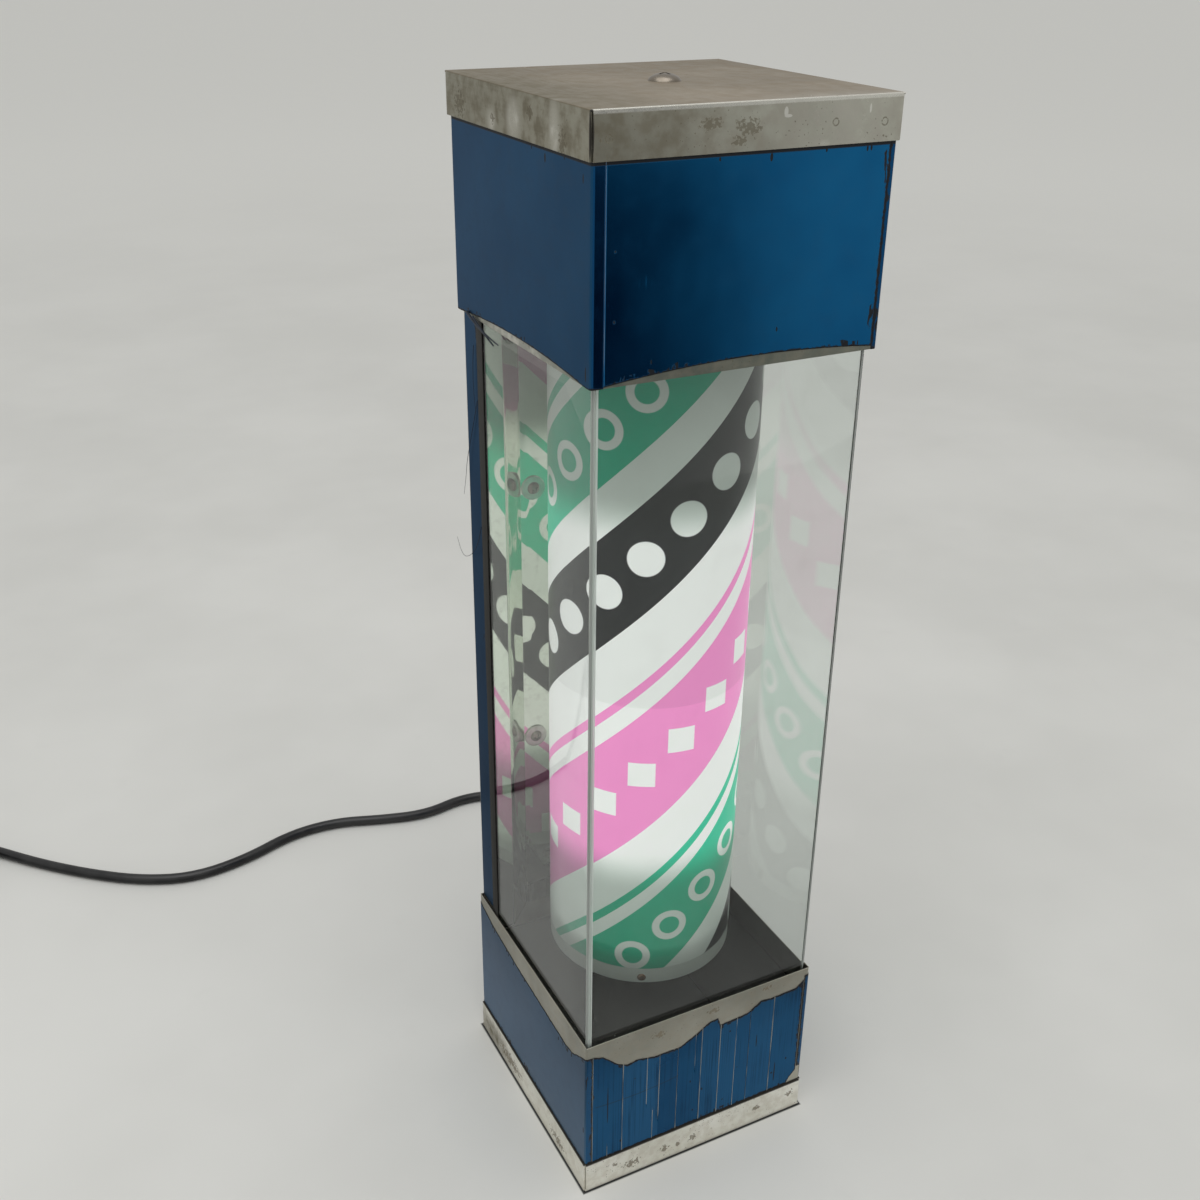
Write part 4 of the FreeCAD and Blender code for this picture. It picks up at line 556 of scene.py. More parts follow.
capLook = {
    "dark": colour(0.40, 0.40, 0.335),
    "light": colour(0.58, 0.575, 0.495),
    "lidDark": colour(0.21, 0.175, 0.125),
    "lidLight": colour(0.35, 0.30, 0.23),
    "lidFrom": 599.3,
    "lidRough": 0.47,
    # Height from which, and place in front of which, the lid's front fold carries a painted highlight
    "foldHighlightFrom": 597.9,
    "foldHighlightFront": -76.2,
    "stain": colour(0.25, 0.20, 0.145),
    "bright": colour(0.74, 0.73, 0.67),
    "rust": colour(0.11, 0.095, 0.06),
    "rustDepth": 0.8,
    # Tone of the dark creases, seams and inner faces: dirt and painted shade
    "crease": colour(0.03, 0.026, 0.02),
    "creases": (),
    "creaseSpread": 0.6,
    # Painted shade in the slot at the lid's front-left corner
    "seams": (((-76.7, -77.5, 590.0), 3.0, (1.0, 1.0, 0.12)),),
    # Darker areas and their tone; the wide one in front of the rim's left half is painted reflection
    "darkArea": colour(0.17, 0.15, 0.10),
    "darkAreas": (
        ((-77.5, 0, 602), 24, (1, 0.12, 1)),
        ((-76.5, 66, 590), 30),
        ((-76.5, 20, 600), 13, (1, 0.4, 1)),
        ((-76.5, 0, 590), 60, (1, 0.3, 1)),
        ((-45, -100, 590), 45, (1, 1, 0.5)),
    ),
    # Brighter areas; the wide one in front of the rim's right half is painted reflection
    "brightAreas": (
        ((-76.5, -3, 587), 12, (1, 1, 0.8)),
        ((-76.5, -44, 588), 13, (1, 1.6, 0.7)),
        ((-76.5, 22, 584), 8),
        ((35.5, -77.5, 581), 6, (1, 1, 1.6)),
        ((45, -100, 590), 45, (0.6, 1, 0.5)),
    ),
    "smears": (
        ((-4, -77.5, 590), 11, (0.9, 1, 1.3)),
        ((-7, -77.5, 584.5), 5.5, (0.8, 1, 1)),
        ((-22, -77.5, 592), 8, (0.8, 1, 1.8)),
        ((68.1, -77.5, 582.6), 3, (0.6, 1, 1.6)),
        ((-72.3, -77.5, 588.1), 1.2),
        ((-68.5, -77.5, 588.7), 0.8),
        ((-76.5, 20, 585), 4, (1, 1, 0.7)),
        ((-76.5, 59, 587), 12),
        ((-76.5, -20, 592), 6),
        ((-76.5, -52, 584), 7, (1, 1, 0.7)),
    ),
    "rings": (((-68.5, -77.5, 588.7), 1.6), ((40.3, -77.5, 589.5), 1.5), ((66.3, -77.5, 588.5), 1.6)),
    "nicks": (
        ((14.6, -77.5, 594.9), 1.6, (1, 1, 0.5)),
        ((15.8, -77.5, 593.2), 1.5, (0.5, 1, 1.4)),
        ((58.1, -77.5, 594.3), 1.2, (1.5, 1, 0.4)),
    ),
    "cloudScale": 13.0,
    "mottle": 0.4,
    "specks": 0.08,
    "speckScale": 760.0,
    "grain": (900.0, 40.0, 900.0),
    "scratch": (700.0, 25.0, 700.0),
    "turn": (0.0, 0.0, 0.6),
    "scratches": 0.45,
    "metal": 0.94,
    "rough": 0.33,
}
capSteel = steelFinish("capSteel", capLook)

skirtLook = dict(capLook)
del skirtLook["lidFrom"], skirtLook["foldHighlightFrom"]
skirtLook.update({
    "dark": colour(0.80, 0.79, 0.71),
    "light": colour(0.95, 0.94, 0.88),
    "stain": colour(0.50, 0.44, 0.34),
    "rust": colour(0.17, 0.14, 0.09),
    # Dark lines at the floor, a painted contact shadow, and at the skirt's top edge
    "creases": (0.0, 21.2),
    "creaseSpread": 1.3,
    "seams": (((-75.0, -76.0, 10.0), 1.6, (1.0, 1.0, 0.05)),),
    "darkAreas": (((-76.0, 60.0, 8.0), 34.0, (1.0, 0.6, 2.0)),),
    "brightAreas": (),
    "smears": (
        ((-43.7, -76, 8.4), 8, (0.7, 1, 1.3)),
        ((-21.5, -76, 9.7), 5),
        ((-12.8, -76, 8.2), 4),
        ((-2.3, -76, 9.3), 5),
        ((42.5, -76, 11.9), 5),
        ((66.9, -76, 12.9), 5),
        ((-55, -76, 12.8), 3.5),
        ((-75, 30, 9), 9, (1, 0.3, 1)),
        ((-75, -40, 7), 7, (1, 0.4, 1)),
    ),
    "rings": (),
    "nicks": (),
    "cloudScale": 20.0,
    "specks": 0.2,
    "speckScale": 800.0,
    "mottle": 0.3,
    "grain": (60.0, 60.0, 2400.0),
    "scratch": (30.0, 30.0, 1300.0),
    "turn": (0.0, 0.0, 0.0),
    "metal": 0.85,
    "rough": 0.42,
})
skirtSteel = steelFinish("skirtSteel", skirtLook)

casingLook = dict(skirtLook)
casingLook.update({
    "dark": colour(0.38, 0.375, 0.32),
    "light": colour(0.52, 0.51, 0.44),
    "creases": (21.4,),
    "seams": (),
    # Inside these half widths the inner faces of the walls are painted dark: painted shade
    "inside": (73.6, 74.6),
    "darkAreas": (),
    "smears": (
        ((-28, -75, 101), 7, (0.8, 1, 1.6)),
        ((8, -75, 104), 6, (0.8, 1, 1.6)),
        ((44, -75, 106), 5, (0.8, 1, 1.6)),
    ),
    "specks": 0.08,
    "rough": 0.36,
})
lowerSteel = steelFinish("lowerSteel", casingLook)

archLook = dict(casingLook)
archLook.update({
    "dark": colour(0.17, 0.185, 0.155),
    "light": colour(0.27, 0.29, 0.245),
    "creases": (),
    # Inside these half widths the inner faces of the walls are painted dark: painted shade
    "inside": (74.2, 75.2),
    "crease": colour(0.010, 0.009, 0.007),
    # Painted shadow at the left end of the steel strip above the window
    "seams": (((-62.0, -76.0, 491.0), 26.0, (1.0, 0.2, 5.0)),),
    "brightAreas": (((-75.0, 0.0, 488.0), 72.0),),
    "smears": (
        ((-24, -76, 495), 9, (0.5, 1, 1.4)),
        ((20, -76, 499), 9, (0.5, 1, 1.4)),
        ((-76, -10, 495), 30, (1, 1, 3)),
    ),
    "specks": 0.12,
})
archSteel = steelFinish("archSteel", archLook)

spineLook = dict(casingLook)
del spineLook["inside"]
spineLook.update({"smears": (), "creases": (), "specks": 0.05})
spineSteel = steelFinish("spineSteel", spineLook)


# Heights between which the film is painted dark: painted shadow under the lid
lidShadow = (578.1, 578.7)


def filmFinish(name, look):
    # Metallic blue film: cloudy from handling, fine upright streaks, cracks, nicks and dark edges, with
    # painted shadow under the lid, painted reflection and painted highlight
    material, tree, spot, surface = startMaterial(name)
    edge = named(tree, "edgeAway")
    shade = named(tree, "stripShade")
    place = parts(tree, spot)
    ragged = noiseAt(tree, spot, 420.0, 3.0)
    wide = patches(tree, spot, 13.0, 0.3, 0.72, 3.0)
    fine = patches(tree, spot, 120.0, 0.42, 0.75, 3.0)
    tone = mixed(tree, wide, look["deep"], look["blue"])
    # Paler strips at random: painted reflection, standing in for the strips' differing tilts
    tone = mixed(tree, ranged(tree, shade, 0.0, 1.0, 0.0, look["strips"], False), tone, look["paleReflectionTone"])
    tone = mixed(tree, times(tree, fine, look["haze"]), tone, look["dust"])
    # Where the film turns onto the front it is painted darker: painted reflection
    if "frontAt" in look:
        onFront = under(tree, place[1], look["frontAt"] * mm)
        tone = mixed(tree, onFront, tone, look["frontReflectionBlue"])
    streaks = placed(tree, thinScratches, {"Vector": spot, "Stretch": (480.0, 480.0, 5.0),
                                           "Amount": look["streaks"], "Width": look["streakWidth"]})[0]
    tone = mixed(tree, times(tree, streaks, look["streakDepth"]), tone, look["streak"])
    marks = specksAt(tree, spot, 330.0, look["marks"], 0.3)
    stretched = scaledBy(tree, spot, (520.0, 520.0, 130.0))
    cracks = noiseAt(tree, stretched, 1.0, 2.0)
    groups = noiseAt(tree, spot, 38.0, 2.0)
    reach = times(tree, ranged(tree, groups, 0.42, 0.66), look["crackLong"] * mm)
    cracked = times(tree, under(tree, edge, reach), ranged(tree, cracks, 0.54, 0.6))
    uneven = times(tree, minus(tree, ragged, 0.5), 2.4 * look["border"] * mm)
    border = ranged(tree, plus(tree, edge, uneven), look["border"] * mm, 0.5 * look["border"] * mm)
    nicks = plus(tree, marksAt(tree, spot, look["nicks"]), times(tree, ragged, 0.5))
    dark = larger(tree, larger(tree, marks, cracked), border)
    dark = larger(tree, dark, ranged(tree, nicks, 0.6, 0.7))
    # Painted shadow under the lid's rim, in the tone of the marks
    dark = larger(tree, dark, ranged(tree, place[2], lidShadow[0] * mm, lidShadow[1] * mm))
    if "scratchAt" in look:
        fromMiddle = minus(tree, place[0], look["scratchAt"][0] * mm)
        bow = times(tree, times(tree, fromMiddle, fromMiddle), look["scratchBow"])
        line = plus(tree, bow, look["scratchAt"][1] * mm)
        away = apart(tree, place[2], line)
        within = under(tree, calc(tree, "ABSOLUTE", fromMiddle), look["scratchHalf"] * mm)
        scratch = times(tree, within, ranged(tree, away, 0.45 * mm, 0.1 * mm, 0.0, 0.55))
        dark = larger(tree, dark, scratch)
    tone = mixed(tree, dark, tone, look["mark"])
    # Painted highlight along the slits and the knife-cut ends; in the slits it also stands in for the pale
    # steel seen through them
    slit = named(tree, "slitAway")
    slit = ranged(tree, slit, look["cutEdge"] * mm, 0.4 * look["cutEdge"] * mm)
    tone = mixed(tree, times(tree, slit, ranged(tree, groups, 0.35, 0.6)), tone, look["cut"])
    join(tree, surface.inputs["Base Color"], tone)
    bare = larger(tree, dark, slit)
    join(tree, surface.inputs["Metallic"], ranged(tree, bare, 0.0, 1.0, look["metal"], 0.0))
    rough = ranged(tree, wide, 0.0, 1.0, look["rough"], look["rough"] + 0.05, False)
    if "frontAt" in look:
        rough = plus(tree, rough, times(tree, onFront, look["frontRough"] - look["rough"]))
    rough = plus(tree, rough, times(tree, fine, look["haze"] * 0.4))
    join(tree, surface.inputs["Roughness"], plus(tree, rough, times(tree, dark, 0.4), True))
    surface.inputs["Specular Tint"].default_value = look["rim"]
    surface.inputs["Coat Weight"].default_value = look["coat"]
    surface.inputs["Coat Roughness"].default_value = look["coatRough"]
    waves = noiseAt(tree, spot, 22.0, 2.0)
    normal = bump(tree, waves, 0.3 * mm, 0.5)
    join(tree, surface.inputs["Normal"], bump(tree, minus(tree, streaks, dark), 0.03 * mm, 0.5, normal))
    return material


upperFrontLook = {
    "deep": colour(0.006, 0.105, 0.265),
    "blue": colour(0.010, 0.145, 0.340),
    "paleReflectionTone": colour(0.03, 0.17, 0.36),
    "dust": colour(0.06, 0.15, 0.28),
    "streak": colour(0.004, 0.04, 0.12),
    # Tone of marks, cracks and dark edges, also of the painted shadow under the lid
    "mark": colour(0.006, 0.008, 0.012),
    # Painted highlight at knife-cut ends and along slits
    "cut": colour(0.14, 0.22, 0.34),
    "rim": colour(0.65, 0.65, 0.68),
    "haze": 0.04,
    "strips": 0.0,
    "streaks": 0.15,
    "streakWidth": 0.012,
    "streakDepth": 0.3,
    "marks": 0.003,
    "crackLong": 4.0,
    "border": 0.9,
    "cutEdge": 0.2,
    "metal": 1.0,
    "rough": 0.17,
    "coat": 0.06,
    "coatRough": 0.12,
    "nicks": (
        ((-71.2, -75.5, 575.5), 1, (1, 0.2, 0.18)),
        ((-69.4, -75.5, 577.5), 1, (1, 0.2, 0.5)),
        ((-16, -75.5, 577.5), 0.9, (1, 0.2, 0.5)),
        ((9.5, -75.5, 576.8), 1.3, (1, 0.2, 0.4)),
        ((37.6, -75.5, 578), 0.9, (1, 0.2, 0.5)),
        ((59.3, -75.5, 577.4), 0.9, (1, 0.2, 0.4)),
        ((61.4, -75.5, 577.6), 0.9, (1, 0.2, 0.4)),
        ((-46, -75.5, 495), 0.8, (1, 0.2, 0.4)),
        ((18, -75.5, 502), 0.8, (1, 0.2, 0.4)),
    ),
}
upperSideLook = dict(upperFrontLook)
upperSideLook.update({
    "deep": colour(0.010, 0.068, 0.158),
    # Flap on the front painted darker: painted reflection
    "frontAt": -75.95,
    "frontReflectionBlue": colour(0.006, 0.07, 0.19),
    "frontRough": 0.17,
    "blue": colour(0.018, 0.088, 0.192),
    "dust": colour(0.07, 0.10, 0.14),
    "haze": 0.12,
    "rough": 0.3,
    "coat": 0.08,
    "coatRough": 0.22,
    "nicks": (
        ((-75, -32.3, 575.5), 1.2, (0.2, 1, 0.35)),
        ((-75, -68.4, 572.5), 0.9, (0.2, 1, 0.25)),
        ((-75, -51, 578), 0.8, (0.2, 1, 0.6)),
        ((-75, -18.7, 578), 0.8, (0.2, 1, 0.6)),
        ((-75, -71.5, 492), 0.9, (0.2, 1, 0.16)),
    ),
})
lowerFrontLook = dict(upperFrontLook)
lowerFrontLook.update({
    "deep": colour(0.010, 0.075, 0.185),
    "blue": colour(0.015, 0.102, 0.235),
    # Tone of the paler strips: painted reflection
    "paleReflectionTone": colour(0.035, 0.155, 0.33),
    "streak": colour(0.006, 0.028, 0.075),
    "haze": 0.06,
    "strips": 0.6,
    "streaks": 1.7,
    "streakWidth": 0.06,
    "streakDepth": 0.65,
    "marks": 0.02,
    "crackLong": 3.0,
    "border": 1.3,
    # Pale painted highlight along the slits, also standing in for the steel in them
    "cut": colour(0.60, 0.62, 0.58),
    "cutEdge": 0.12,
    "rough": 0.27,
    "coat": 0.08,
    "nicks": (
        ((20.2, -75.5, 83.2), 0.9, (1, 0.2, 0.7)),
        ((11.7, -75.5, 94), 1.1, (1, 0.2, 0.5)),
        ((52.5, -75.5, 35.8), 1, (1, 0.2, 0.7)),
        ((62.4, -75.5, 43.5), 0.9, (1, 0.2, 0.5)),
        ((2.7, -75.5, 45.6), 0.9, (1, 0.2, 0.5)),
        ((-5.6, -75.5, 55.2), 0.8, (1, 0.2, 0.5)),
        ((-3, -75.5, 31.3), 0.9, (1, 0.2, 0.6)),
        ((28.6, -75.5, 23), 1.3, (1, 0.2, 1)),
        ((-51.5, -75.5, 29.9), 0.9, (1, 0.2, 0.5)),
        ((-69.4, -75.5, 72.4), 1.1, (1, 0.2, 0.4)),
        ((-69.8, -75.5, 47), 0.9, (1, 0.2, 0.2)),
        ((54.5, -75.5, 36), 0.7, (1, 0.2, 0.05)),
        ((-60.2, -75.5, 62), 0.6, (1, 0.2, 0.025)),
        ((39.5, -75.5, 67), 0.6, (1, 0.2, 0.07)),
    ),
    "scratchAt": (-41.0, 62.0),
    "scratchHalf": 27.0,
    "scratchBow": 2.4,
})
lowerSideLook = dict(upperSideLook)
lowerSideLook.update({
    "deep": colour(0.040, 0.120, 0.225),
    "blue": colour(0.058, 0.150, 0.270),
    "dust": colour(0.16, 0.20, 0.27),
    "haze": 0.16,
    "border": 1.0,
    # Flap on the front painted darker: painted reflection
    "frontAt": -74.95,
    "frontReflectionBlue": colour(0.012, 0.088, 0.21),
    "frontRough": 0.27,
    "coat": 0.3,
    "nicks": (
        ((-74, -72.5, 46.8), 0.9, (0.2, 1, 0.2)),
        ((-74, -40, 88), 1, (0.2, 1, 0.4)),
    ),
})
upperFrontFilm = filmFinish("upperFrontFilm", upperFrontLook)
upperSideFilm = filmFinish("upperSideFilm", upperSideLook)
lowerFrontFilm = filmFinish("lowerFrontFilm", lowerFrontLook)
lowerSideFilm = filmFinish("lowerSideFilm", lowerSideLook)


def plainFinish(name, look):
    # Moulded, painted or plated surface: slight cloud, faint grain, scuffs
    material, tree, spot, surface = startMaterial(name)
    wide = patches(tree, spot, look.get("cloudScale", 40.0), 0.35, 0.7, 4.0)
    fine = noiseAt(tree, spot, 900.0, 2.0)
    tone = mixed(tree, times(tree, wide, look.get("cloud", 0.5)), look["base"], look["worn"])
    dust = specksAt(tree, spot, 500.0, look.get("dust", 0.0), 0.34)
    tone = mixed(tree, times(tree, dust, 0.4), tone, colour(0.3, 0.29, 0.27))
    join(tree, surface.inputs["Base Color"], tone)
    surface.inputs["Metallic"].default_value = look.get("metal", 0.0)
    surface.inputs["Specular IOR Level"].default_value = look.get("shine", 0.5)
    rough = look["rough"]
    join(tree, surface.inputs["Roughness"], ranged(tree, wide, 0.0, 1.0, rough, rough + 0.12, False))
    depth = look.get("grainDepth", 0.02) * mm
    join(tree, surface.inputs["Normal"], bump(tree, fine, depth, 0.6))
    return material


def plain(base, worn, rough, **more):
    return dict(more, base=colour(*base), worn=colour(*worn), rough=rough)


plainLooks = {
    "deckPaint": plain((0.013, 0.0125, 0.0115), (0.028, 0.026, 0.023), 0.5, cloudScale=18.0,
                       cloud=0.8, shine=0.15, dust=0.03),
    "zincSteel": plain((0.52, 0.54, 0.55), (0.42, 0.43, 0.43), 0.38, metal=1.0),
    "screwSteel": plain((0.25, 0.22, 0.185), (0.14, 0.12, 0.09), 0.3, metal=1.0, cloudScale=180.0),
    "washerSteel": plain((0.55, 0.55, 0.50), (0.36, 0.35, 0.3), 0.3, metal=1.0, cloudScale=220.0),
    "rivetBrass": plain((0.12, 0.075, 0.045), (0.07, 0.045, 0.03), 0.45, metal=0.9),
    "bearingBrass": plain((0.68, 0.5, 0.22), (0.5, 0.36, 0.16), 0.3, metal=1.0),
    "plugBrass": plain((0.72, 0.6, 0.34), (0.6, 0.5, 0.28), 0.25, metal=1.0),
    "gearPlastic": plain((0.78, 0.76, 0.68), (0.66, 0.62, 0.52), 0.5),
    "motorPaint": plain((0.5, 0.5, 0.48), (0.38, 0.38, 0.36), 0.4, metal=0.9),
    "coilTape": plain((0.68, 0.52, 0.12), (0.5, 0.36, 0.08), 0.4),
    "magnetBlack": plain((0.03, 0.03, 0.032), (0.06, 0.06, 0.06), 0.6),
    "channelRubber": plain((0.012, 0.0115, 0.0095), (0.026, 0.024, 0.019), 0.6,   cloudScale=70.0),
    "blackRubber": plain((0.012, 0.012, 0.012), (0.035, 0.035, 0.035), 0.55, cloudScale=70.0),
    "cordBlack": plain((0.008, 0.008, 0.009), (0.03, 0.03, 0.03), 0.3, cloudScale=60.0,
                       grainDepth=0.03),
    "lampCap": plain((0.7, 0.7, 0.68), (0.55, 0.55, 0.53), 0.35, metal=1.0),
    "holderPlastic": plain((0.82, 0.82, 0.78), (0.7, 0.69, 0.62), 0.3),
    "ballastPaint": plain((0.1, 0.11, 0.11), (0.16, 0.17, 0.17), 0.4),
    "starterPlastic": plain((0.75, 0.75, 0.7), (0.62, 0.61, 0.54), 0.45),
    "leadPlastic": plain((0.72, 0.72, 0.7), (0.6, 0.6, 0.56), 0.45),
    "hoopPlastic": plain((0.33, 0.36, 0.345), (0.26, 0.27, 0.25), 0.4),
    "threadBlue": plain((0.006, 0.012, 0.025), (0.01, 0.015, 0.025), 0.4),
}
finishes = {name: plainFinish(name, look) for name, look in plainLooks.items()}


def mirrorFinish():
    # Polished stainless behind the drum, a little wavy, with a greenish cast
    material, tree, spot, surface = startMaterial("mirrorSteel")
    wide = patches(tree, spot, 9.0, 0.3, 0.7, 3.0)
    dust = patches(tree, spot, 240.0, 0.5, 0.75, 3.0)
    tone = mixed(tree, wide, colour(0.68, 0.75, 0.63), colour(0.78, 0.83, 0.73))
    tone = mixed(tree, times(tree, dust, 0.25), tone, colour(0.45, 0.45, 0.38))
    join(tree, surface.inputs["Base Color"], tone)
    surface.inputs["Metallic"].default_value = 1.0
    join(tree, surface.inputs["Roughness"], ranged(tree, dust, 0.0, 1.0, 0.035, 0.12, False))
    waves = noiseAt(tree, spot, 14.0, 1.0)
    join(tree, surface.inputs["Normal"], bump(tree, waves, 0.35 * mm, 0.25))
    return material


mirrorSteel = mirrorFinish()


def passLamp(tree, surface, tint):
    # Shadow rays go straight through, so the lamp also lights what stands outside the sheet
    out = surface.outputs[0].links[0].to_socket
    clear = put(tree, "ShaderNodeBsdfTransparent", {"Color": tint})
    path = put(tree, "ShaderNodeLightPath")
    through = put(tree, "ShaderNodeMixShader",
                  {0: path.outputs["Is Shadow Ray"], 1: surface.outputs[0], 2: clear.outputs[0]})
    tree.links.new(through.outputs[0], out)


def paneFinish():
    # Clear acrylic that lets lamp light through, with faint dust
    material, tree, spot, surface = startMaterial("clearPane")
    dust = patches(tree, spot, 60.0, 0.45, 0.8, 5.0)
    tone = mixed(tree, dust, colour(0.96, 0.988, 0.974), colour(0.93, 0.955, 0.94))
    join(tree, surface.inputs["Base Color"], tone)
    surface.inputs["Roughness"].default_value = 0.0
    surface.inputs["Transmission Weight"].default_value = 1.0
    surface.inputs["IOR"].default_value = paneLook["bendsLight"]
    passLamp(tree, surface, colour(0.93, 0.96, 0.945))
    return material


def bendFinish():
    # The heat-bent corners of the pane: a pale frosted band, partly painted light for the light the bend
    # gathers, with fine upright lines and a painted highlight line at the end
    material, tree, spot, surface = startMaterial("paleBendAndHighlight")
    field = noiseAt(tree, scaledBy(tree, spot, (1500.0, 1500.0, 6.0)), 1.0, 2.0)
    tone = mixed(tree, ranged(tree, field, 0.35, 0.65), colour(0.56, 0.61, 0.57), colour(0.66, 0.72, 0.68))
    # Painted highlight line along the left bend
    fromLine = apart(tree, parts(tree, spot)[0], paneLook["highlightLineAt"] * mm)
    bright = ranged(tree, fromLine, 0.35 * mm, 0.2 * mm)
    join(tree, surface.inputs["Base Color"], mixed(tree, bright, tone, colour(0.62, 0.67, 0.64)))
    join(tree, surface.inputs["Transmission Weight"], ranged(tree, bright, 0.0, 1.0, 0.55, 0.1))
    surface.inputs["IOR"].default_value = paneLook["bendsLight"]
    join(tree, surface.inputs["Roughness"], ranged(tree, field, 0.35, 0.65, 0.22, 0.4, False))
    passLamp(tree, surface, colour(0.75, 0.8, 0.77))
    return material


# Window: one clear sheet bent into a U. In the right bend a middle stretch, in degrees, stays clear.
paneLook = {
    "thick": 2.0,
    "bend": 2.5,
    "clearFrom": 30,
    "clearTo": 62,
    # Where the painted highlight line runs, along X
    "highlightLineAt": -70.1,
    "bendsLight": 1.49,
}
clearPane = paneFinish()
paleBendAndHighlight = bendFinish()


# Drum light, painted as glow: how bright the tube's wall glows at a height, from the lamp inside
glow = {
    "lampLow": 0.195,
    "lampHigh": 0.404,
    "fade": 0.014,
    "lit": 0.55,
    "below": 0.12,
    "above": 0.035,
    "reach": 0.06,
}


def glowAt(tree, height):
    rise = ranged(tree, height, glow["lampLow"] - glow["fade"], glow["lampLow"] + glow["fade"])
    fall = ranged(tree, height, glow["lampHigh"] + glow["fade"], glow["lampHigh"] - glow["fade"])
    core = times(tree, rise, fall)
    low = ranged(tree, height, glow["lampLow"] - glow["reach"], glow["lampLow"], 0.4, 1.0, False)
    high = ranged(tree, height, glow["lampHigh"] + glow["reach"] * 1.5, glow["lampHigh"], 0.25, 1.0, False)
    isLow = under(tree, height, 0.3)
    weak = plus(tree, times(tree, isLow, times(tree, low, glow["below"])),
                times(tree, minus(tree, 1.0, isLow), times(tree, high, glow["above"])))
    strong = times(tree, core, glow["lit"] - glow["below"])
    return plus(tree, weak, strong), core


def drumFinish():
    # The drum's plastic wall, with the lamp's light through it painted as glow; its foot is a duller band
    # below the print
    material, tree, spot, surface = startMaterial("drumPlastic")
    height = parts(tree, spot)[2]
    light, core = glowAt(tree, height)
    grime = patches(tree, spot, 50.0, 0.45, 0.8, 4.0)
    tone = mixed(tree, times(tree, grime, 0.4), colour(0.36, 0.39, 0.36), colour(0.28, 0.28, 0.25))
    join(tree, surface.inputs["Base Color"], tone)
    surface.inputs["Roughness"].default_value = 0.45
    # Painted glow of the lamp's light through the wall
    tint = mixed(tree, core, colour(0.50, 0.66, 0.56), colour(0.9, 0.95, 0.9))
    join(tree, surface.inputs["Emission Color"], mixed(tree, 1.0, tint, light, "MULTIPLY"))
    surface.inputs["Emission Strength"].default_value = 0.6
    return material


drumPlastic = drumFinish()

# Printed film: slanting stripes on a white ground, each with a row of discs, diamonds or rings, in their
# colours by daylight and with the lamp behind them, the lamp-lit ones painted as glow. Motif sizes are shares
# of the stripes' period.
printLook = {
    "white": (colour(0.56, 0.61, 0.57), colour(0.72, 0.715, 0.72)),
    "pink": (colour(0.46, 0.12, 0.30), colour(0.82, 0.28, 0.58)),
    "black": (colour(0.006, 0.007, 0.008), colour(0.008, 0.009, 0.010)),
    "green": (colour(0.010, 0.32, 0.19), colour(0.02, 0.46, 0.28)),
    "slant": 45.0,
    "motifsAlong": 8,
    "discRadius": 0.040,
    "diamondHalf": 0.044,
    "ringRadius": 0.034,
    "ringHalfWide": 0.009,
}


def printFinish():
    material, tree, spot, surface = startMaterial("drumPrint")
    height = parts(tree, spot)[2]
    stripes = parts(tree, put(tree, "ShaderNodeUVMap", uv_map="stripeMap").outputs[0])
    across = calc(tree, "FRACT", stripes[0])
    bands = [
        (0.0, "pink"), (0.225, "white"), (0.265, "pink"), (0.285, "white"), (0.40, "black"), (0.585, "white"),
        (0.665, "green"), (0.84, "white"), (0.875, "green"), (0.893, "white"),
    ]
    along = calc(tree, "FRACT", times(tree, stripes[1], float(printLook["motifsAlong"])))
    along = calc(tree, "DIVIDE", minus(tree, along, 0.5), float(printLook["motifsAlong"]))
    soft = 0.0015

    def offMiddle(band):
        return minus(tree, across, (bands[band][0] + bands[band + 1][0]) / 2)

    def roundDistance(side):
        squares = plus(tree, times(tree, side, side), times(tree, along, along))
        return calc(tree, "SQRT", squares)

    def filled(distance, reach):
        return ranged(tree, distance, reach + soft, reach - soft)

    disc = filled(roundDistance(offMiddle(4)), printLook["discRadius"])
    diamond = plus(tree, calc(tree, "ABSOLUTE", offMiddle(0)), calc(tree, "ABSOLUTE", along))
    diamond = filled(diamond, printLook["diamondHalf"])
    ring = apart(tree, roundDistance(offMiddle(6)), printLook["ringRadius"])
    ring = filled(ring, printLook["ringHalfWide"])
    motifs = larger(tree, larger(tree, disc, diamond), ring)

    def inked(kind):
        ramp = put(tree, "ShaderNodeValToRGB", {0: across})
        ramp.color_ramp.interpolation = "CONSTANT"
        stops = ramp.color_ramp.elements
        stops[0].position = 0.0
        stops[0].color = printLook[bands[0][1]][kind]
        stops[1].position = bands[-1][0]
        stops[1].color = printLook[bands[-1][1]][kind]
        for place, name in bands[1:-1]:
            stop = stops.new(place)
            stop.color = printLook[name][kind]
        return mixed(tree, motifs, ramp.outputs[0], printLook["white"][kind])

    light, core = glowAt(tree, height)
    join(tree, surface.inputs["Base Color"], inked(0))
    surface.inputs["Roughness"].default_value = 0.32
    # Painted glow of the lamp's light through the print
    tint = mixed(tree, core, colour(0.74, 0.92, 0.8), colour(1.02, 1.0, 0.99))
    lit = mixed(tree, 1.0, tint, light, "MULTIPLY")
    join(tree, surface.inputs["Emission Color"], mixed(tree, 1.0, lit, inked(1), "MULTIPLY"))
    surface.inputs["Emission Strength"].default_value = 1.35
    return material


drumPrint = printFinish()


def lampFinish():
    material, tree, spot, surface = startMaterial("lampTube")
    height = parts(tree, spot)[2]
    ends = ranged(tree, height, 0.196, 0.206)
    surface.inputs["Base Color"].default_value = colour(0.9, 0.9, 0.88)
    surface.inputs["Roughness"].default_value = 0.2
    tone = mixed(tree, ends, colour(0.5, 0.42, 0.34), colour(1.0, 1.0, 0.96))
    join(tree, surface.inputs["Emission Color"], tone)
    surface.inputs["Emission Strength"].default_value = 1.2
    return material


lampTube = lampFinish()
print("materials made:", len(bpy.data.materials))

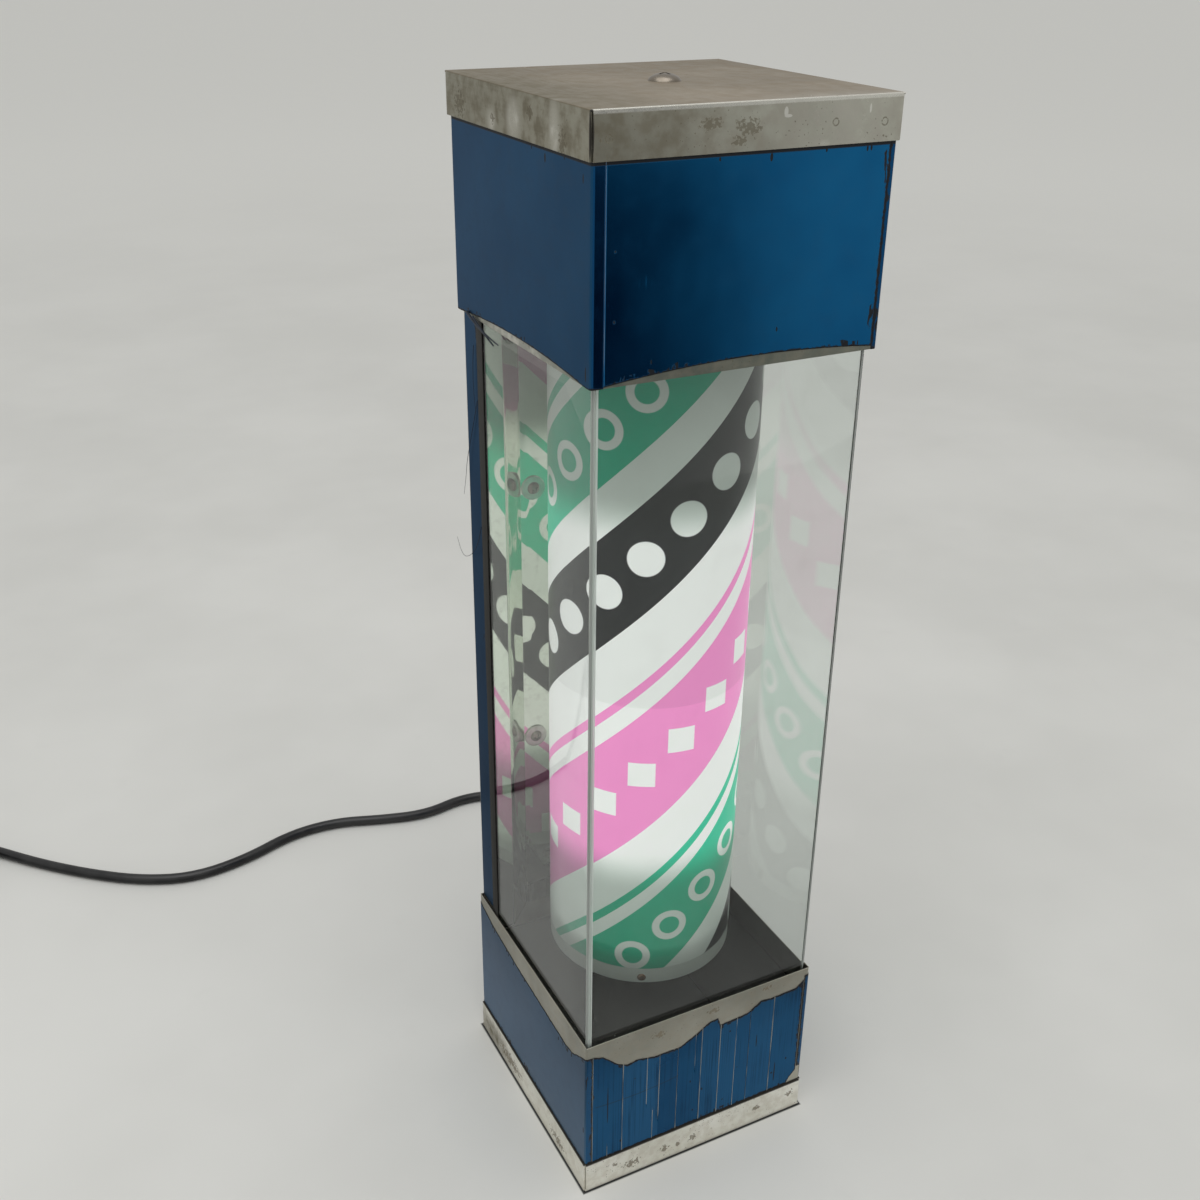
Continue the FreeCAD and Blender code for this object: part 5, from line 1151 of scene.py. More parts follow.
# Camera at the photograph's place, fitted to the casing's corners
cameraPlace = {
    "place": (-0.33128, -0.58042, 0.67050),
    "yaw": -27.444,
    "pitch": -26.643,
    "roll": -0.679,
    "lens": 41.495,
    "sensor": 36.0,
}


def addCamera():
    data = bpy.data.cameras.new("camera")
    data.lens = cameraPlace["lens"]
    data.sensor_width = cameraPlace["sensor"]
    data.clip_start = 0.01
    camera = bpy.data.objects.new("camera", data)
    scene.collection.objects.link(camera)
    turn = (
        Matrix.Rotation(math.radians(cameraPlace["yaw"]), 4, "Z")
        @ Matrix.Rotation(math.radians(cameraPlace["pitch"]), 4, "X")
        @ Matrix.Rotation(math.radians(cameraPlace["roll"]), 4, "Y")
        @ Matrix.Rotation(math.radians(90), 4, "X")
    )
    camera.matrix_world = Matrix.Translation(cameraPlace["place"]) @ turn
    scene.camera = camera


addCamera()

# Cord: straight out of the gland, down to the floor, away to the left, into the coil put away there
cordLook = {
    "radius": 3.75,
    "onFloor": 3.75,
    "onTies": 4.65,
    "coilRadius": 51.0,
    "coilPitch": 8.1,
    "climbTurns": 0.5,
    "fullTurns": 5,
    "pointsPerTurn": 20,
    "tailLong": 46.0,
    "plugHigh": 8.0,
    "length": 2.098,
}
onFloor = cordLook["onFloor"]
onTies = cordLook["onTies"]
cordRoute = [
    (40, 109, 38),
    (40, 131, 38),
    (41, 158, 28.5),
    (45, 187, 12),
    (53, 218, onFloor),
    (62, 252, onFloor),
    (60, 287, onFloor),
    (40, 313, onFloor),
    (9, 321, onFloor),
    (-25, 313, onFloor),
    (-60, 322, onFloor),
    (-95, 335, onFloor),
    (-133, 334.5, onFloor),
    (-172, 319, onFloor),
    (-214, 314, onFloor),
    (-251, 329, onFloor),
    (-284, 354, onFloor),
    (-315, 383, onFloor),
    (-342, 412, onTies),
    (-366, 440, onTies),
]


def coilPoints():
    # Two layers of turns, in below and out above, then a short tail to the plug
    end = Vector(cordRoute[-1])
    heading = (end - Vector(cordRoute[-2])).normalized()
    start = end + heading * 2 * cordLook["radius"]
    startAngle = math.atan2(-heading.x, heading.y)
    centre = start - Vector((math.cos(startAngle), math.sin(startAngle), 0)) * cordLook["coilRadius"]
    turns = (math.pi - startAngle) / (2 * math.pi) + cordLook["fullTurns"]
    layer = (turns - cordLook["climbTurns"]) / 2
    inner = cordLook["coilRadius"] - cordLook["coilPitch"] * layer
    inset = cordLook["coilPitch"] / (2 * math.pi)
    count = math.ceil(turns * cordLook["pointsPerTurn"])
    points = [start]
    for number in range(1, count + 1):
        turned = turns * number / count
        climbed = min(max((turned - layer) / cordLook["climbTurns"], 0), 1)
        height = onTies + cordLook["coilPitch"] * (1 - math.cos(math.pi * climbed)) / 2
        if turned < layer:
            radius = cordLook["coilRadius"] - cordLook["coilPitch"] * turned
        else:
            radius = inner - inset * math.sin(math.pi * climbed)
            radius += cordLook["coilPitch"] * max(turned - layer - cordLook["climbTurns"], 0)
        angle = startAngle + 2 * math.pi * turned
        aside = Vector((radius * math.cos(angle), radius * math.sin(angle)))
        points.append(Vector((centre.x + aside.x, centre.y + aside.y, height)))
    last = points[-1]
    for share, drop in ((0.25, 0.08), (0.5, 0.5), (0.75, 0.92), (1.0, 1.0)):
        height = last.z + (cordLook["plugHigh"] - last.z) * drop
        points.append(Vector((last.x, last.y - cordLook["tailLong"] * share, height)))
    points.append(points[-1] - Vector((0, 2 * cordLook["radius"], 0)))
    return points, centre


def roundCurve(name, radius, roundness, steps, runs):
    # A round line through each run of (place, share of the radius), with places in millimetres
    curve = bpy.data.curves.new(name, "CURVE")
    curve.dimensions = "3D"
    curve.bevel_depth = radius * mm
    curve.bevel_resolution = roundness
    curve.resolution_u = steps
    curve.use_fill_caps = True
    for run in runs:
        spline = curve.splines.new("NURBS")
        spline.points.add(len(run) - 1)
        for point, (place, share) in zip(spline.points, run):
            point.co = [value * mm for value in place] + [1]
            point.radius = share
        spline.order_u = 3
        spline.use_endpoint_u = True
    line = bpy.data.objects.new(name, curve)
    scene.collection.objects.link(line)
    return line


def addCord():
    points = [Vector(point) for point in cordRoute] + coilPoints()[0]
    cord = roundCurve("mains_cord", cordLook["radius"], 5, 5, [[(point, 1) for point in points]])
    cord.data.materials.append(finishes["cordBlack"])
    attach(cord, "root")
    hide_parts("cord", "cord_coil")


# Floor: one wide pale sheet, with a painted contact shadow where the skirt stands on it, which also fills the
# background, and the studio light
stageLook = {
    "reach": 20.0,
    "skirtHalf": 75.0,
    "skirtDepth": 76.0,
    "lightPlace": (-0.35, -0.25, 2.1),
    "lightSize": 1.9,
    "lightPower": 20.0,
    "lightAim": (0.0, 0.1, 0.2),
    "worldLevel": 0.60,
}


def addStage():
    reach = stageLook["reach"]
    points = [(-reach, -reach, 0.0), (reach, -reach, 0.0), (reach, reach, 0.0), (-reach, reach, 0.0)]
    mesh = meshFrom("floor_sheet", points, [(0, 1, 2, 3)], False)
    floor = bpy.data.objects.new("floor_sheet", mesh)
    scene.collection.objects.link(floor)
    material, tree, spot, surface = startMaterial("floorPaper")
    far = near(tree, spot, (0.0, 0.0, 0.0), 1.0)[1]
    wide = patches(tree, spot, 2.2, 0.3, 0.7, 4.0)
    marks = times(tree, patches(tree, spot, 18.0, 0.6, 0.8, 5.0), ranged(tree, far, 2.0, 0.5, 0.0, 0.12))
    close = mixed(tree, wide, colour(0.62, 0.62, 0.595), colour(0.69, 0.69, 0.665))
    tone = mixed(tree, ranged(tree, far, 0.4, 4.0), close, colour(0.86, 0.86, 0.83))
    tone = mixed(tree, marks, tone, colour(0.5, 0.5, 0.48))
    # Painted contact shadow round the skirt's foot
    place = parts(tree, spot)
    beside = minus(tree, calc(tree, "ABSOLUTE", place[0]), stageLook["skirtHalf"] * mm)
    before = minus(tree, calc(tree, "ABSOLUTE", place[1]), stageLook["skirtDepth"] * mm)
    contactShadow = ranged(tree, larger(tree, beside, before), 1.6 * mm, 0.5 * mm)
    join(tree, surface.inputs["Base Color"], mixed(tree, contactShadow, tone, colour(0.03, 0.03, 0.03)))
    surface.inputs["Roughness"].default_value = 0.8
    crumple = noiseAt(tree, spot, 7.0, 4.0)
    join(tree, surface.inputs["Normal"], bump(tree, crumple, 4 * mm, 0.5))
    mesh.materials.append(material)


def addLight():
    data = bpy.data.lights.new("softbox", "AREA")
    data.shape = "SQUARE"
    data.size = stageLook["lightSize"]
    data.energy = stageLook["lightPower"]
    light = bpy.data.objects.new("softbox", data)
    scene.collection.objects.link(light)
    light.location = stageLook["lightPlace"]
    aim = Vector(stageLook["lightAim"]) - light.location
    light.rotation_euler = aim.to_track_quat("-Z", "Y").to_euler()
    world = bpy.data.worlds.new("room")
    scene.world = world
    world.use_nodes = True
    tree = world.node_tree
    tree.nodes.clear()
    level = stageLook["worldLevel"]
    back = put(tree, "ShaderNodeBackground", {"Color": colour(level, level, level * 0.98), "Strength": 1.0})
    put(tree, "ShaderNodeOutputWorld", {"Surface": back.outputs[0]})


# Cards seen only in reflections: an upright one whose dark middle deepens the blue of the front film, one
# on the floor in front that keeps the front pane clear and a grey one on the floor at the left.
# Corners, darkest place and distances from it are in metres.
cardLooks = {
    "dark_card": {
        "corners": ((-0.35, -1.0, 0.0), (1.4, -1.0, 0.0), (1.4, -1.0, 0.95), (-0.35, -1.0, 0.95)),
        "darkAt": (0.37, -1.0, 0.19),
        "weight": (1.0, 0.0, 0.72),
        "darkTo": 0.14,
        "lightFrom": 0.34,
        "dark": colour(0.006, 0.009, 0.026),
        "light": colour(0.58, 0.58, 0.56),
    },
    "floor_card": {
        "corners": ((-0.8, -0.999, 0.001), (1.4, -0.999, 0.001), (1.4, -0.17, 0.001), (-0.8, -0.17, 0.001)),
        "darkAt": (0.0, -1.0, 0.0),
        "weight": (0.0, 1.0, 0.0),
        "darkTo": 0.72,
        "lightFrom": 0.83,
        "dark": colour(0.02, 0.02, 0.02),
        "light": colour(0.15, 0.15, 0.15),
    },
    "side_card": {
        "corners": ((-0.72, -0.165, 0.002), (-0.115, -0.165, 0.002), (-0.115, 1.6, 0.002),
                    (-0.72, 1.6, 0.002)),
        "darkAt": (-0.35, 0.3, 0.0),
        "weight": (1.0, 1.0, 0.0),
        "darkTo": 0.0,
        "lightFrom": 2.0,
        "dark": colour(0.28, 0.28, 0.27),
        "light": colour(0.40, 0.40, 0.39),
    },
}


def addCard(name, look):
    mesh = meshFrom(name, look["corners"], [(0, 1, 2, 3)], False)
    card = bpy.data.objects.new(name, mesh)
    scene.collection.objects.link(card)
    material = bpy.data.materials.new(name + "Shade")
    material.use_nodes = True
    tree = material.node_tree
    tree.nodes.clear()
    spot = put(tree, "ShaderNodeTexCoord").outputs["Object"]
    far = near(tree, spot, look["darkAt"], 1.0, look["weight"])[1]
    level = mixed(tree, ranged(tree, far, look["darkTo"], look["lightFrom"]), look["dark"], look["light"])
    glowing = put(tree, "ShaderNodeEmission", {"Color": level, "Strength": 1.0})
    put(tree, "ShaderNodeOutputMaterial", {"Surface": glowing.outputs[0]})
    mesh.materials.append(material)
    card.visible_camera = False
    card.visible_diffuse = False
    card.visible_transmission = False
    card.visible_shadow = False


addStage()
addLight()
for cardName, cardLook in cardLooks.items():
    addCard(cardName, cardLook)
scene.view_settings.view_transform = "Standard"
print("stage and light set")

# Folded sheet pieces keep their CAD shape, with rounded bends
reworked("top_cap", capSteel, fold=1.4 * mm)
reworked("base_tray", skirtSteel, fold=1.4 * mm)
reworked("lower_housing", lowerSteel, fold=1.2 * mm)
reworked("upper_housing", archSteel, fold=1.2 * mm)
reworked("spine", spineSteel, fold=1.2 * mm)
reworked("ledge_frame", finishes["deckPaint"], fold=1.2 * mm)
reworked("reflector", mirrorSteel, fold=1.6 * mm, sheet=0.8 * mm)
reworked("motor_plate", finishes["zincSteel"], fold=1.8 * mm, sheet=1.2 * mm)
reworked("cap_bridge", finishes["zincSteel"], fold=1.8 * mm, sheet=1.2 * mm)
reworked("lamp_bracket", finishes["zincSteel"], fold=1.5 * mm)
print("folded sheets reworked")

# Blue films: thin sheets on the casing, with torn, cracked and slit edges
filmLook = {
    "thick": 0.17,
    "column": 1.1,
    "rows": 22,
    "border": 0.5,
    "bend": 1.25,
    "tear": 0.8,
    "bulge": 0.06,
    "tilt": 0.1,
    "tornCorner": [(64.5, 22.0), (65.5, 25.0), (71.0, 31.0), (71.4, 36.5)],
    "flapFoot": 33.0,
    "bareEdge": 0.15,
    "sideArch": 1.5,
    "longSlit": 60.0,
    "frontTearOver": 60.0,
    "leftTearOver": 80.0,
    "archUnder": 520.0,
}


def rimOf(node, along, chosen):
    # One edge of a sheet as (place along an axis, height) pairs, read from the node's own corners
    spots = {}
    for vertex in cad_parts[node].data.vertices:
        if chosen(vertex.co):
            spots[round(vertex.co[along], 6)] = vertex.co.z
    return sorted(spots.items())


def heightAt(rim, place):
    number = min(max(bisect.bisect_left(rim, (place, 0.0)), 1), len(rim) - 1)
    (first, low), (second, high) = rim[number - 1], rim[number]
    share = min(max((place - first) / (second - first), 0), 1)
    return low + (high - low) * share


def filmStations(length, bends, slits, border):
    # Where the columns of a sheet stand: evenly, in the bends, near its ends and on both sides of every slit
    columns = math.ceil(length / (filmLook["column"] * mm))
    stations = {length * number / columns for number in range(columns + 1)} | set(bends)
    stations |= {border, length - border}
    for place, low, high, width in slits:
        stations -= {station for station in stations if abs(station - place) < width / 2 + border}
        stations |= {place + side * (width / 2 + more) for side in (-1, 1) for more in (0, border)}
    return sorted(stations)


def inSlit(place, height, slits):
    return any(abs(place - cut) < width / 2 and low < height < high for cut, low, high, width in slits)


def filmSheet(name, node, material, plan, foot, top, slits=(), clean=(False, False), seed=0, ragged=0.3):
    # A thin sheet along a line in plan, on the line's outer side. foot and top give the edge heights at a
    # plan point, slits are (distance along the line, lowest, highest, width), all in metres, and clean
    # says which of the two ends are cut with a knife.
    path = bentPath(plan, filmLook["bend"] * mm, 0.05, 8)
    normals = pathNormals(path, 1)
    reached = [0.0]
    for before, after in zip(path, path[1:]):
        reached.append(reached[-1] + (after - before).length)
    border = filmLook["border"] * mm
    stations = filmStations(reached[-1], reached, slits, border)
    draw = random.Random(seed)
    cuts = sorted(place for place, low, high, width in slits if high - low > filmLook["longSlit"] * mm)
    shades = [draw.random() for number in range(len(cuts) + 1)]
    tilts = [draw.uniform(-1, 1) * filmLook["tilt"] * mm for number in range(len(cuts) + 1)]
    ends = [0.0] + cuts + [reached[-1]]
    rows = filmLook["rows"]
    points = []
    away = []
    slitAway = []
    shade = []
    for station in stations:
        number = min(bisect.bisect_right(reached, station), len(path) - 1)
        share = (station - reached[number - 1]) / (reached[number] - reached[number - 1])
        place = path[number - 1].lerp(path[number], share)
        out = normals[number - 1].lerp(normals[number], share).normalized()
        uneven = noise.noise(Vector((station * 450, seed * 7.3, 0.0)))
        uneven = abs(uneven + 0.5 * noise.noise(Vector((station * 1500, seed, 3.0))))
        low = foot(place) + 0.15 * mm * uneven * ragged
        high = top(place) - filmLook["tear"] * mm * uneven * ragged
        strip = bisect.bisect_right(cuts, station)
        across = (station - ends[strip]) / (ends[strip + 1] - ends[strip]) - 0.5
        heights = [low, low + border]
        heights += [low + border + (high - low - 2 * border) * row / (rows - 2) for row in range(1, rows - 2)]
        heights += [high - border, high]
        sides = (station, reached[-1] - station)
        tornSides = [side for side, knife in zip(sides, clean) if not knife]
        cleanSides = [side for side, knife in zip(sides, clean) if knife]
        for height in heights:
            edge = min([height - low, high - height] + tornSides)
            away.append(edge)
            beside = min([1.0] + cleanSides)
            for cut, lowest, highest, width in slits:
                if lowest - border < height < highest + border:
                    beside = min(beside, max(abs(station - cut) - width / 2, 0))
            slitAway.append(beside)
            edge = min(edge, beside)
            bulge = 1 + noise.noise(Vector((place.x * 25, place.y * 25 + seed, height * 18)))
            lift = 0.03 * mm + filmLook["bulge"] * mm * bulge * min(edge / (8 * mm), 1)
            lift += abs(across + 0.5) * abs(tilts[strip])
            spot = place + out * lift
            points.append((spot.x, spot.y, height))
            shade.append(shades[strip])
    count = rows + 1
    faces = []
    for number in range(len(stations) - 1):
        middle = (stations[number] + stations[number + 1]) / 2
        for row in range(rows):
            first = number * count + row
            height = (points[first][2] + points[first + count + 1][2]) / 2
            if not inSlit(middle, height, slits):
                faces.append((first, first + 1, first + count + 1, first + count))
    mesh = bpy.data.meshes.new(name)
    mesh.from_pydata(points, [], faces)
    for label, values in (("edgeAway", away), ("slitAway", slitAway), ("stripShade", shade)):
        mesh.attributes.new(label, "FLOAT", "POINT").data.foreach_set("value", values)
    work = bmesh.new()
    work.from_mesh(mesh)
    bmesh.ops.delete(work, geom=[vertex for vertex in work.verts if not vertex.link_faces], context="VERTS")
    work.to_mesh(mesh)
    work.free()
    shadeMesh(mesh, True, 40)
    thickened(addPiece(name, mesh, material, replaced=(node,)), filmLook["thick"] * mm, 1)


def wrapPlan(node, leftFlap, rightFlap):
    # Round the left, back and right faces, turned a little way onto the front
    low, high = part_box(node)
    over = 0.2 * mm
    left, right, front, back = low.x + over, high.x - over, low.y + over, high.y - over
    return [(left + leftFlap * mm, front), (left, front), (left, back), (right, back), (right, front),
            (right - rightFlap * mm, front)]


def frontPlan(node, leftGap, rightGap):
    low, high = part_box(node)
    return [(high.x - rightGap * mm, high.y), (low.x + leftGap * mm, high.y)]


# Slits in the lower front film: place along X, lowest and highest point, width
slitPlaces = [
    (-60.2, 21, 30, 0.2),
    (-50.5, 21, 110, 0.3),
    (-34.9, 50, 110, 0.2),
    (-30.5, 22, 44, 0.2),
    (-26.8, 36, 110, 0.2),
    (-14.6, 21, 110, 0.3),
    (-3.0, 64, 110, 0.15),
    (1.2, 21, 110, 0.3),
    (13.7, 21, 110, 0.2),
    (24.8, 21, 110, 0.15),
    (34.2, 21, 110, 0.25),
    (50.4, 21, 110, 0.3),
]


def addFilms():
    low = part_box("lower_film_front")[0]
    tornFront = rimOf("lower_film_front", 0, lambda spot: spot.z > filmLook["frontTearOver"] * mm)
    plan = frontPlan("lower_film_front", 0.25, 0.5)
    slits = [(plan[0][0] - place * mm, foot * mm, top * mm, width * mm)
             for place, foot, top, width in slitPlaces]
    tornCorner = [(place * mm, height * mm) for place, height in filmLook["tornCorner"]]
    tornCorner = [(low.x, low.z + 0.3 * mm)] + tornCorner
    filmSheet("torn_front_film", "lower_film_front", lowerFrontFilm, plan,
              lambda spot: heightAt(tornCorner, spot.x), lambda spot: heightAt(tornFront, spot.x),
              slits, (False, True), seed=3, ragged=1.0)
    wrapLow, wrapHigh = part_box("lower_film_wrap")
    tearOver = filmLook["leftTearOver"] * mm
    tornLeft = rimOf("lower_film_wrap", 1, lambda spot: spot.x < wrapLow.x + 1 * mm and spot.z > tearOver)

    def lowerTop(spot):
        onLeft = spot.x < wrapLow.x + 1 * mm
        onFlap = spot.x < 0 and spot.y < wrapLow.y + 1 * mm
        return heightAt(tornLeft, spot.y) if onLeft or onFlap else wrapHigh.z

    def lowerFoot(spot):
        onFlap = spot.x > 0 and spot.y < wrapLow.y + 1 * mm
        return filmLook["flapFoot"] * mm if onFlap else wrapLow.z + 0.3 * mm

    filmSheet("lower_side_film", "lower_film_wrap", lowerSideFilm, wrapPlan("lower_film_wrap", 4, 3),
              lowerFoot, lowerTop, seed=5, ragged=1.0)
    archUnder = filmLook["archUnder"] * mm
    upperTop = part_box("upper_film_front")[1].z
    arch = rimOf("upper_film_front", 0, lambda spot: spot.z < archUnder)
    filmSheet("upper_front_film", "upper_film_front", upperFrontFilm, frontPlan("upper_film_front", 0.1, 0.1),
              lambda spot: heightAt(arch, spot.x), lambda spot: upperTop, clean=(False, True), seed=8)
    sideLow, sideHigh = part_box("upper_film_wrap")
    sideFace = sideHigh.x - 1 * mm
    sideArch = rimOf("upper_film_wrap", 1, lambda spot: abs(spot.x) > sideFace and spot.z < archUnder)

    def sideFoot(spot):
        rise = filmLook["sideArch"] * (heightAt(sideArch, spot.y) - sideLow.z)
        return sideLow.z + (rise if abs(spot.x) > sideFace else 0)

    filmSheet("upper_side_film", "upper_film_wrap", upperSideFilm, wrapPlan("upper_film_wrap", 6, 3),
              sideFoot, lambda spot: sideHigh.z, clean=(True, False), seed=11)
    spineLow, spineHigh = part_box("spine_film")
    over = 0.2 * mm
    front = spineLow.y + filmLook["bareEdge"] * mm
    plan = [(spineLow.x + over, front), (spineLow.x + over, spineHigh.y - over),
            (spineHigh.x - over, spineHigh.y - over), (spineHigh.x - over, front)]
    filmSheet("back_film", "spine_film", upperSideFilm, plan,
              lambda spot: spineLow.z, lambda spot: spineHigh.z, seed=13)


addFilms()

# Loose threads of film and glue at the left back corner: how thick each starts, as a multiple of the
# radius, and its points in millimetres
threadLook = {
    "radius": 0.2,
    "threads": [
        (1, [(-74.6, 53, 372), (-74.9, 57, 360), (-75.2, 69, 348), (-75.2, 82, 343.5), (-74.6, 89, 352)]),
        (1, [(-72.6, 58, 441), (-73.2, 66, 420), (-73.6, 73, 403), (-73.7, 75, 392), (-73.2, 80, 381)]),
        (1, [(-73.0, 60, 470), (-73.4, 63, 452), (-73.0, 60, 436)]),
        (4, [(-76.0, 60, 487.5), (-76.5, 49, 484.4), (-76.5, 38, 482.5), (-76.0, 27, 478.7)]),
        (3, [(-76.2, 52, 487), (-76.6, 42, 483.5), (-76.4, 31, 481.5), (-76.0, 21, 480.5)]),
    ],
}


def addThreads():
    runs = []
    for thickness, places in threadLook["threads"]:
        shares = [thickness * (1 - 0.7 * number / len(places)) for number in range(len(places))]
        runs.append(list(zip(places, shares)))
    holder = roundCurve("film_threads", threadLook["radius"], 1, 6, runs)
    mesh = bpy.data.meshes.new_from_object(holder.evaluated_get(bpy.context.evaluated_depsgraph_get()))
    bpy.data.objects.remove(holder)
    shadeMesh(mesh, True, 50)
    addPiece("film_threads", mesh, finishes["threadBlue"])


addThreads()
print("films laid")


# Small helpers for geometry trees

def newTree(name, sizes):
    tree = bpy.data.node_groups.new(name, "GeometryNodeTree")
    tree.interface.new_socket("Places", in_out="INPUT", socket_type="NodeSocketGeometry")
    for label, kind, value in sizes:
        socket = tree.interface.new_socket(label, in_out="INPUT", socket_type=kind)
        if value is not None:
            socket.default_value = value
    tree.interface.new_socket("Shape", in_out="OUTPUT", socket_type="NodeSocketGeometry")
    return tree, tree.nodes.new("NodeGroupInput").outputs, tree.nodes.new("NodeGroupOutput").inputs


def live(node):
    return next(socket for socket in node.outputs if socket.enabled)


def joinXyz(tree, x=0.0, y=0.0, z=0.0):
    return put(tree, "ShaderNodeCombineXYZ", {0: x, 1: y, 2: z}).outputs[0]


def moved(tree, shape, place, scale=(1, 1, 1)):
    inputs = {"Geometry": shape, "Translation": place, "Scale": scale}
    return put(tree, "GeometryNodeTransform", inputs).outputs[0]


def block(tree, size):
    return put(tree, "GeometryNodeMeshCube", {"Size": size}).outputs[0]


def loop(tree, wide, high, corner, steps):
    # The outline of a rectangle with rounded corners
    outline = put(tree, "GeometryNodeCurvePrimitiveQuadrilateral", {"Width": wide, "Height": high}).outputs[0]
    inputs = {"Curve": outline, "Count": steps, "Radius": corner, "Limit Radius": True}
    return put(tree, "GeometryNodeFilletCurve", inputs, mode="POLY").outputs[0]


def setOnPlaces(tree, given, out, shape):
    # Stands the shape on each place, its Z along the place's aim, and turned about it at random
    aim = live(put(tree, "GeometryNodeInputNamedAttribute", {"Name": "aim"}, data_type="FLOAT_VECTOR"))
    size = live(put(tree, "GeometryNodeInputNamedAttribute", {"Name": "size"}, data_type="FLOAT"))
    aimed = put(tree, "FunctionNodeAlignRotationToVector", {"Vector": aim}, axis="Z").outputs[0]
    roll = live(put(tree, "GeometryNodeInputNamedAttribute", {"Name": "roll"}, data_type="FLOAT"))
    draw = {2: 0.0, 3: given["Turn"], "Seed": given["Seed"]}
    chance = live(put(tree, "FunctionNodeRandomValue", draw, data_type="FLOAT"))
    angle = plus(tree, roll, chance)
    about = put(tree, "FunctionNodeAxisAngleToRotation", {"Axis": (0, 0, 1), "Angle": angle}).outputs[0]
    turned = put(tree, "FunctionNodeRotateRotation", {"Rotation": aimed, "Rotate By": about},
                 rotation_space="LOCAL").outputs[0]
    copies = put(tree, "GeometryNodeInstanceOnPoints",
                 {"Points": given["Places"], "Instance": shape, "Rotation": turned, "Scale": size})
    real = put(tree, "GeometryNodeRealizeInstances", {"Geometry": copies.outputs[0]})
    done = put(tree, "GeometryNodeSetMaterial", {"Geometry": real.outputs[0], "Material": given["Finish"]})
    tree.links.new(done.outputs[0], out["Shape"])


commonInputs = [
    ("Turn", number, 0.0),
    ("Seed", "NodeSocketInt", 1),
    ("Finish", "NodeSocketMaterial", None),
]


def headTree():
    # A domed screw on its shank, with a cross recess. The dome is the top of a wider and taller ball.
    tree, given, out = newTree("domedHeads", [
        ("Across", number, 0.0072), ("High", number, 0.0022), ("Shank", number, 0.002),
        ("Long", number, 0.005), ("Slot", number, 0.0009), ("Arm", number, 0.002), ("Recess", number, 0.001),
    ] + commonInputs)
    tallShare = 1.25
    wideShare = 0.5103
    ball = put(tree, "GeometryNodeMeshUVSphere", {"Segments": 40, "Rings": 24, "Radius": 1.0}).outputs[0]
    tall = times(tree, given["High"], tallShare)
    wide = times(tree, given["Across"], wideShare)
    sunk = joinXyz(tree, z=minus(tree, given["High"], tall))
    dome = moved(tree, ball, sunk, joinXyz(tree, wide, wide, tall))
    tools = [moved(tree, block(tree, (0.1, 0.1, 0.1)), (0.0, 0.0, -0.05))]
    middle = joinXyz(tree, z=plus(tree, minus(tree, given["High"], given["Recess"]), 0.01))
    arm = times(tree, given["Arm"], 2.0)
    for size in (joinXyz(tree, arm, given["Slot"], 0.02), joinXyz(tree, given["Slot"], arm, 0.02)):
        tools.append(moved(tree, block(tree, size), middle))
    cut = put(tree, "GeometryNodeMeshBoolean", {"Mesh 1": dome}, operation="DIFFERENCE", solver="EXACT")
    for tool in tools:
        tree.links.new(tool, cut.inputs["Mesh 2"])
    overlap = 0.4 * mm
    rod = {"Vertices": 24, "Radius": given["Shank"], "Depth": plus(tree, given["Long"], overlap)}
    drop = joinXyz(tree, z=minus(tree, overlap / 2, times(tree, given["Long"], 0.5)))
    shank = moved(tree, put(tree, "GeometryNodeMeshCylinder", rod).outputs[0], drop)
    whole = put(tree, "GeometryNodeMeshBoolean", operation="UNION", solver="EXACT")
    for part in (cut.outputs[0], shank):
        tree.links.new(part, whole.inputs["Mesh 2"])
    setOnPlaces(tree, given, out, whole.outputs[0])
    return tree


def loopTree():
    # A closed ring or strap of rounded section: a washer, a rib or a tie
    tree, given, out = newTree("roundedLoops", [
        ("Wide", number, 0.01), ("High", number, 0.01), ("Corner", number, 0.005), ("Thick", number, 0.003),
        ("Deep", number, 0.001), ("Soft", number, 0.0003),
    ] + commonInputs)
    bent = loop(tree, given["Wide"], given["High"], given["Corner"], 12)
    faced = put(tree, "GeometryNodeSetCurveNormal", {"Curve": bent}, mode="Z_UP").outputs[0]
    section = loop(tree, given["Thick"], given["Deep"], given["Soft"], 3)
    swept = put(tree, "GeometryNodeCurveToMesh", {"Curve": faced, "Profile Curve": section}).outputs[0]
    welded = put(tree, "GeometryNodeMergeByDistance", {"Geometry": swept, "Distance": 1e-6})
    setOnPlaces(tree, given, out, welded.outputs[0])
    return tree


domedHeads = headTree()
roundedLoops = loopTree()


def grown(name, tree, spots, sizes):
    # Runs a tree on (place, aim, size, roll) spots and keeps the result as a plain mesh
    mesh = bpy.data.meshes.new(name + "Spots")
    places, aims, scales, rolls = zip(*spots)
    mesh.from_pydata([tuple(place) for place in places], [], [])
    aimed = mesh.attributes.new("aim", "FLOAT_VECTOR", "POINT")
    aimed.data.foreach_set("vector", [value for aim in aims for value in aim])
    mesh.attributes.new("size", "FLOAT", "POINT").data.foreach_set("value", scales)
    mesh.attributes.new("roll", "FLOAT", "POINT").data.foreach_set("value", rolls)
    holder = bpy.data.objects.new(name + "Spots", mesh)
    scene.collection.objects.link(holder)
    modifier = holder.modifiers.new("Grow", "NODES")
    modifier.node_group = tree
    for item in tree.interface.items_tree:
        if item.in_out == "INPUT" and item.name in sizes:
            modifier[item.identifier] = sizes[item.name]
    holder.update_tag()
    result = bpy.data.meshes.new_from_object(holder.evaluated_get(bpy.context.evaluated_depsgraph_get()))
    bpy.data.objects.remove(holder)
    result.name = name
    shadeMesh(result, True, 35)
    return result


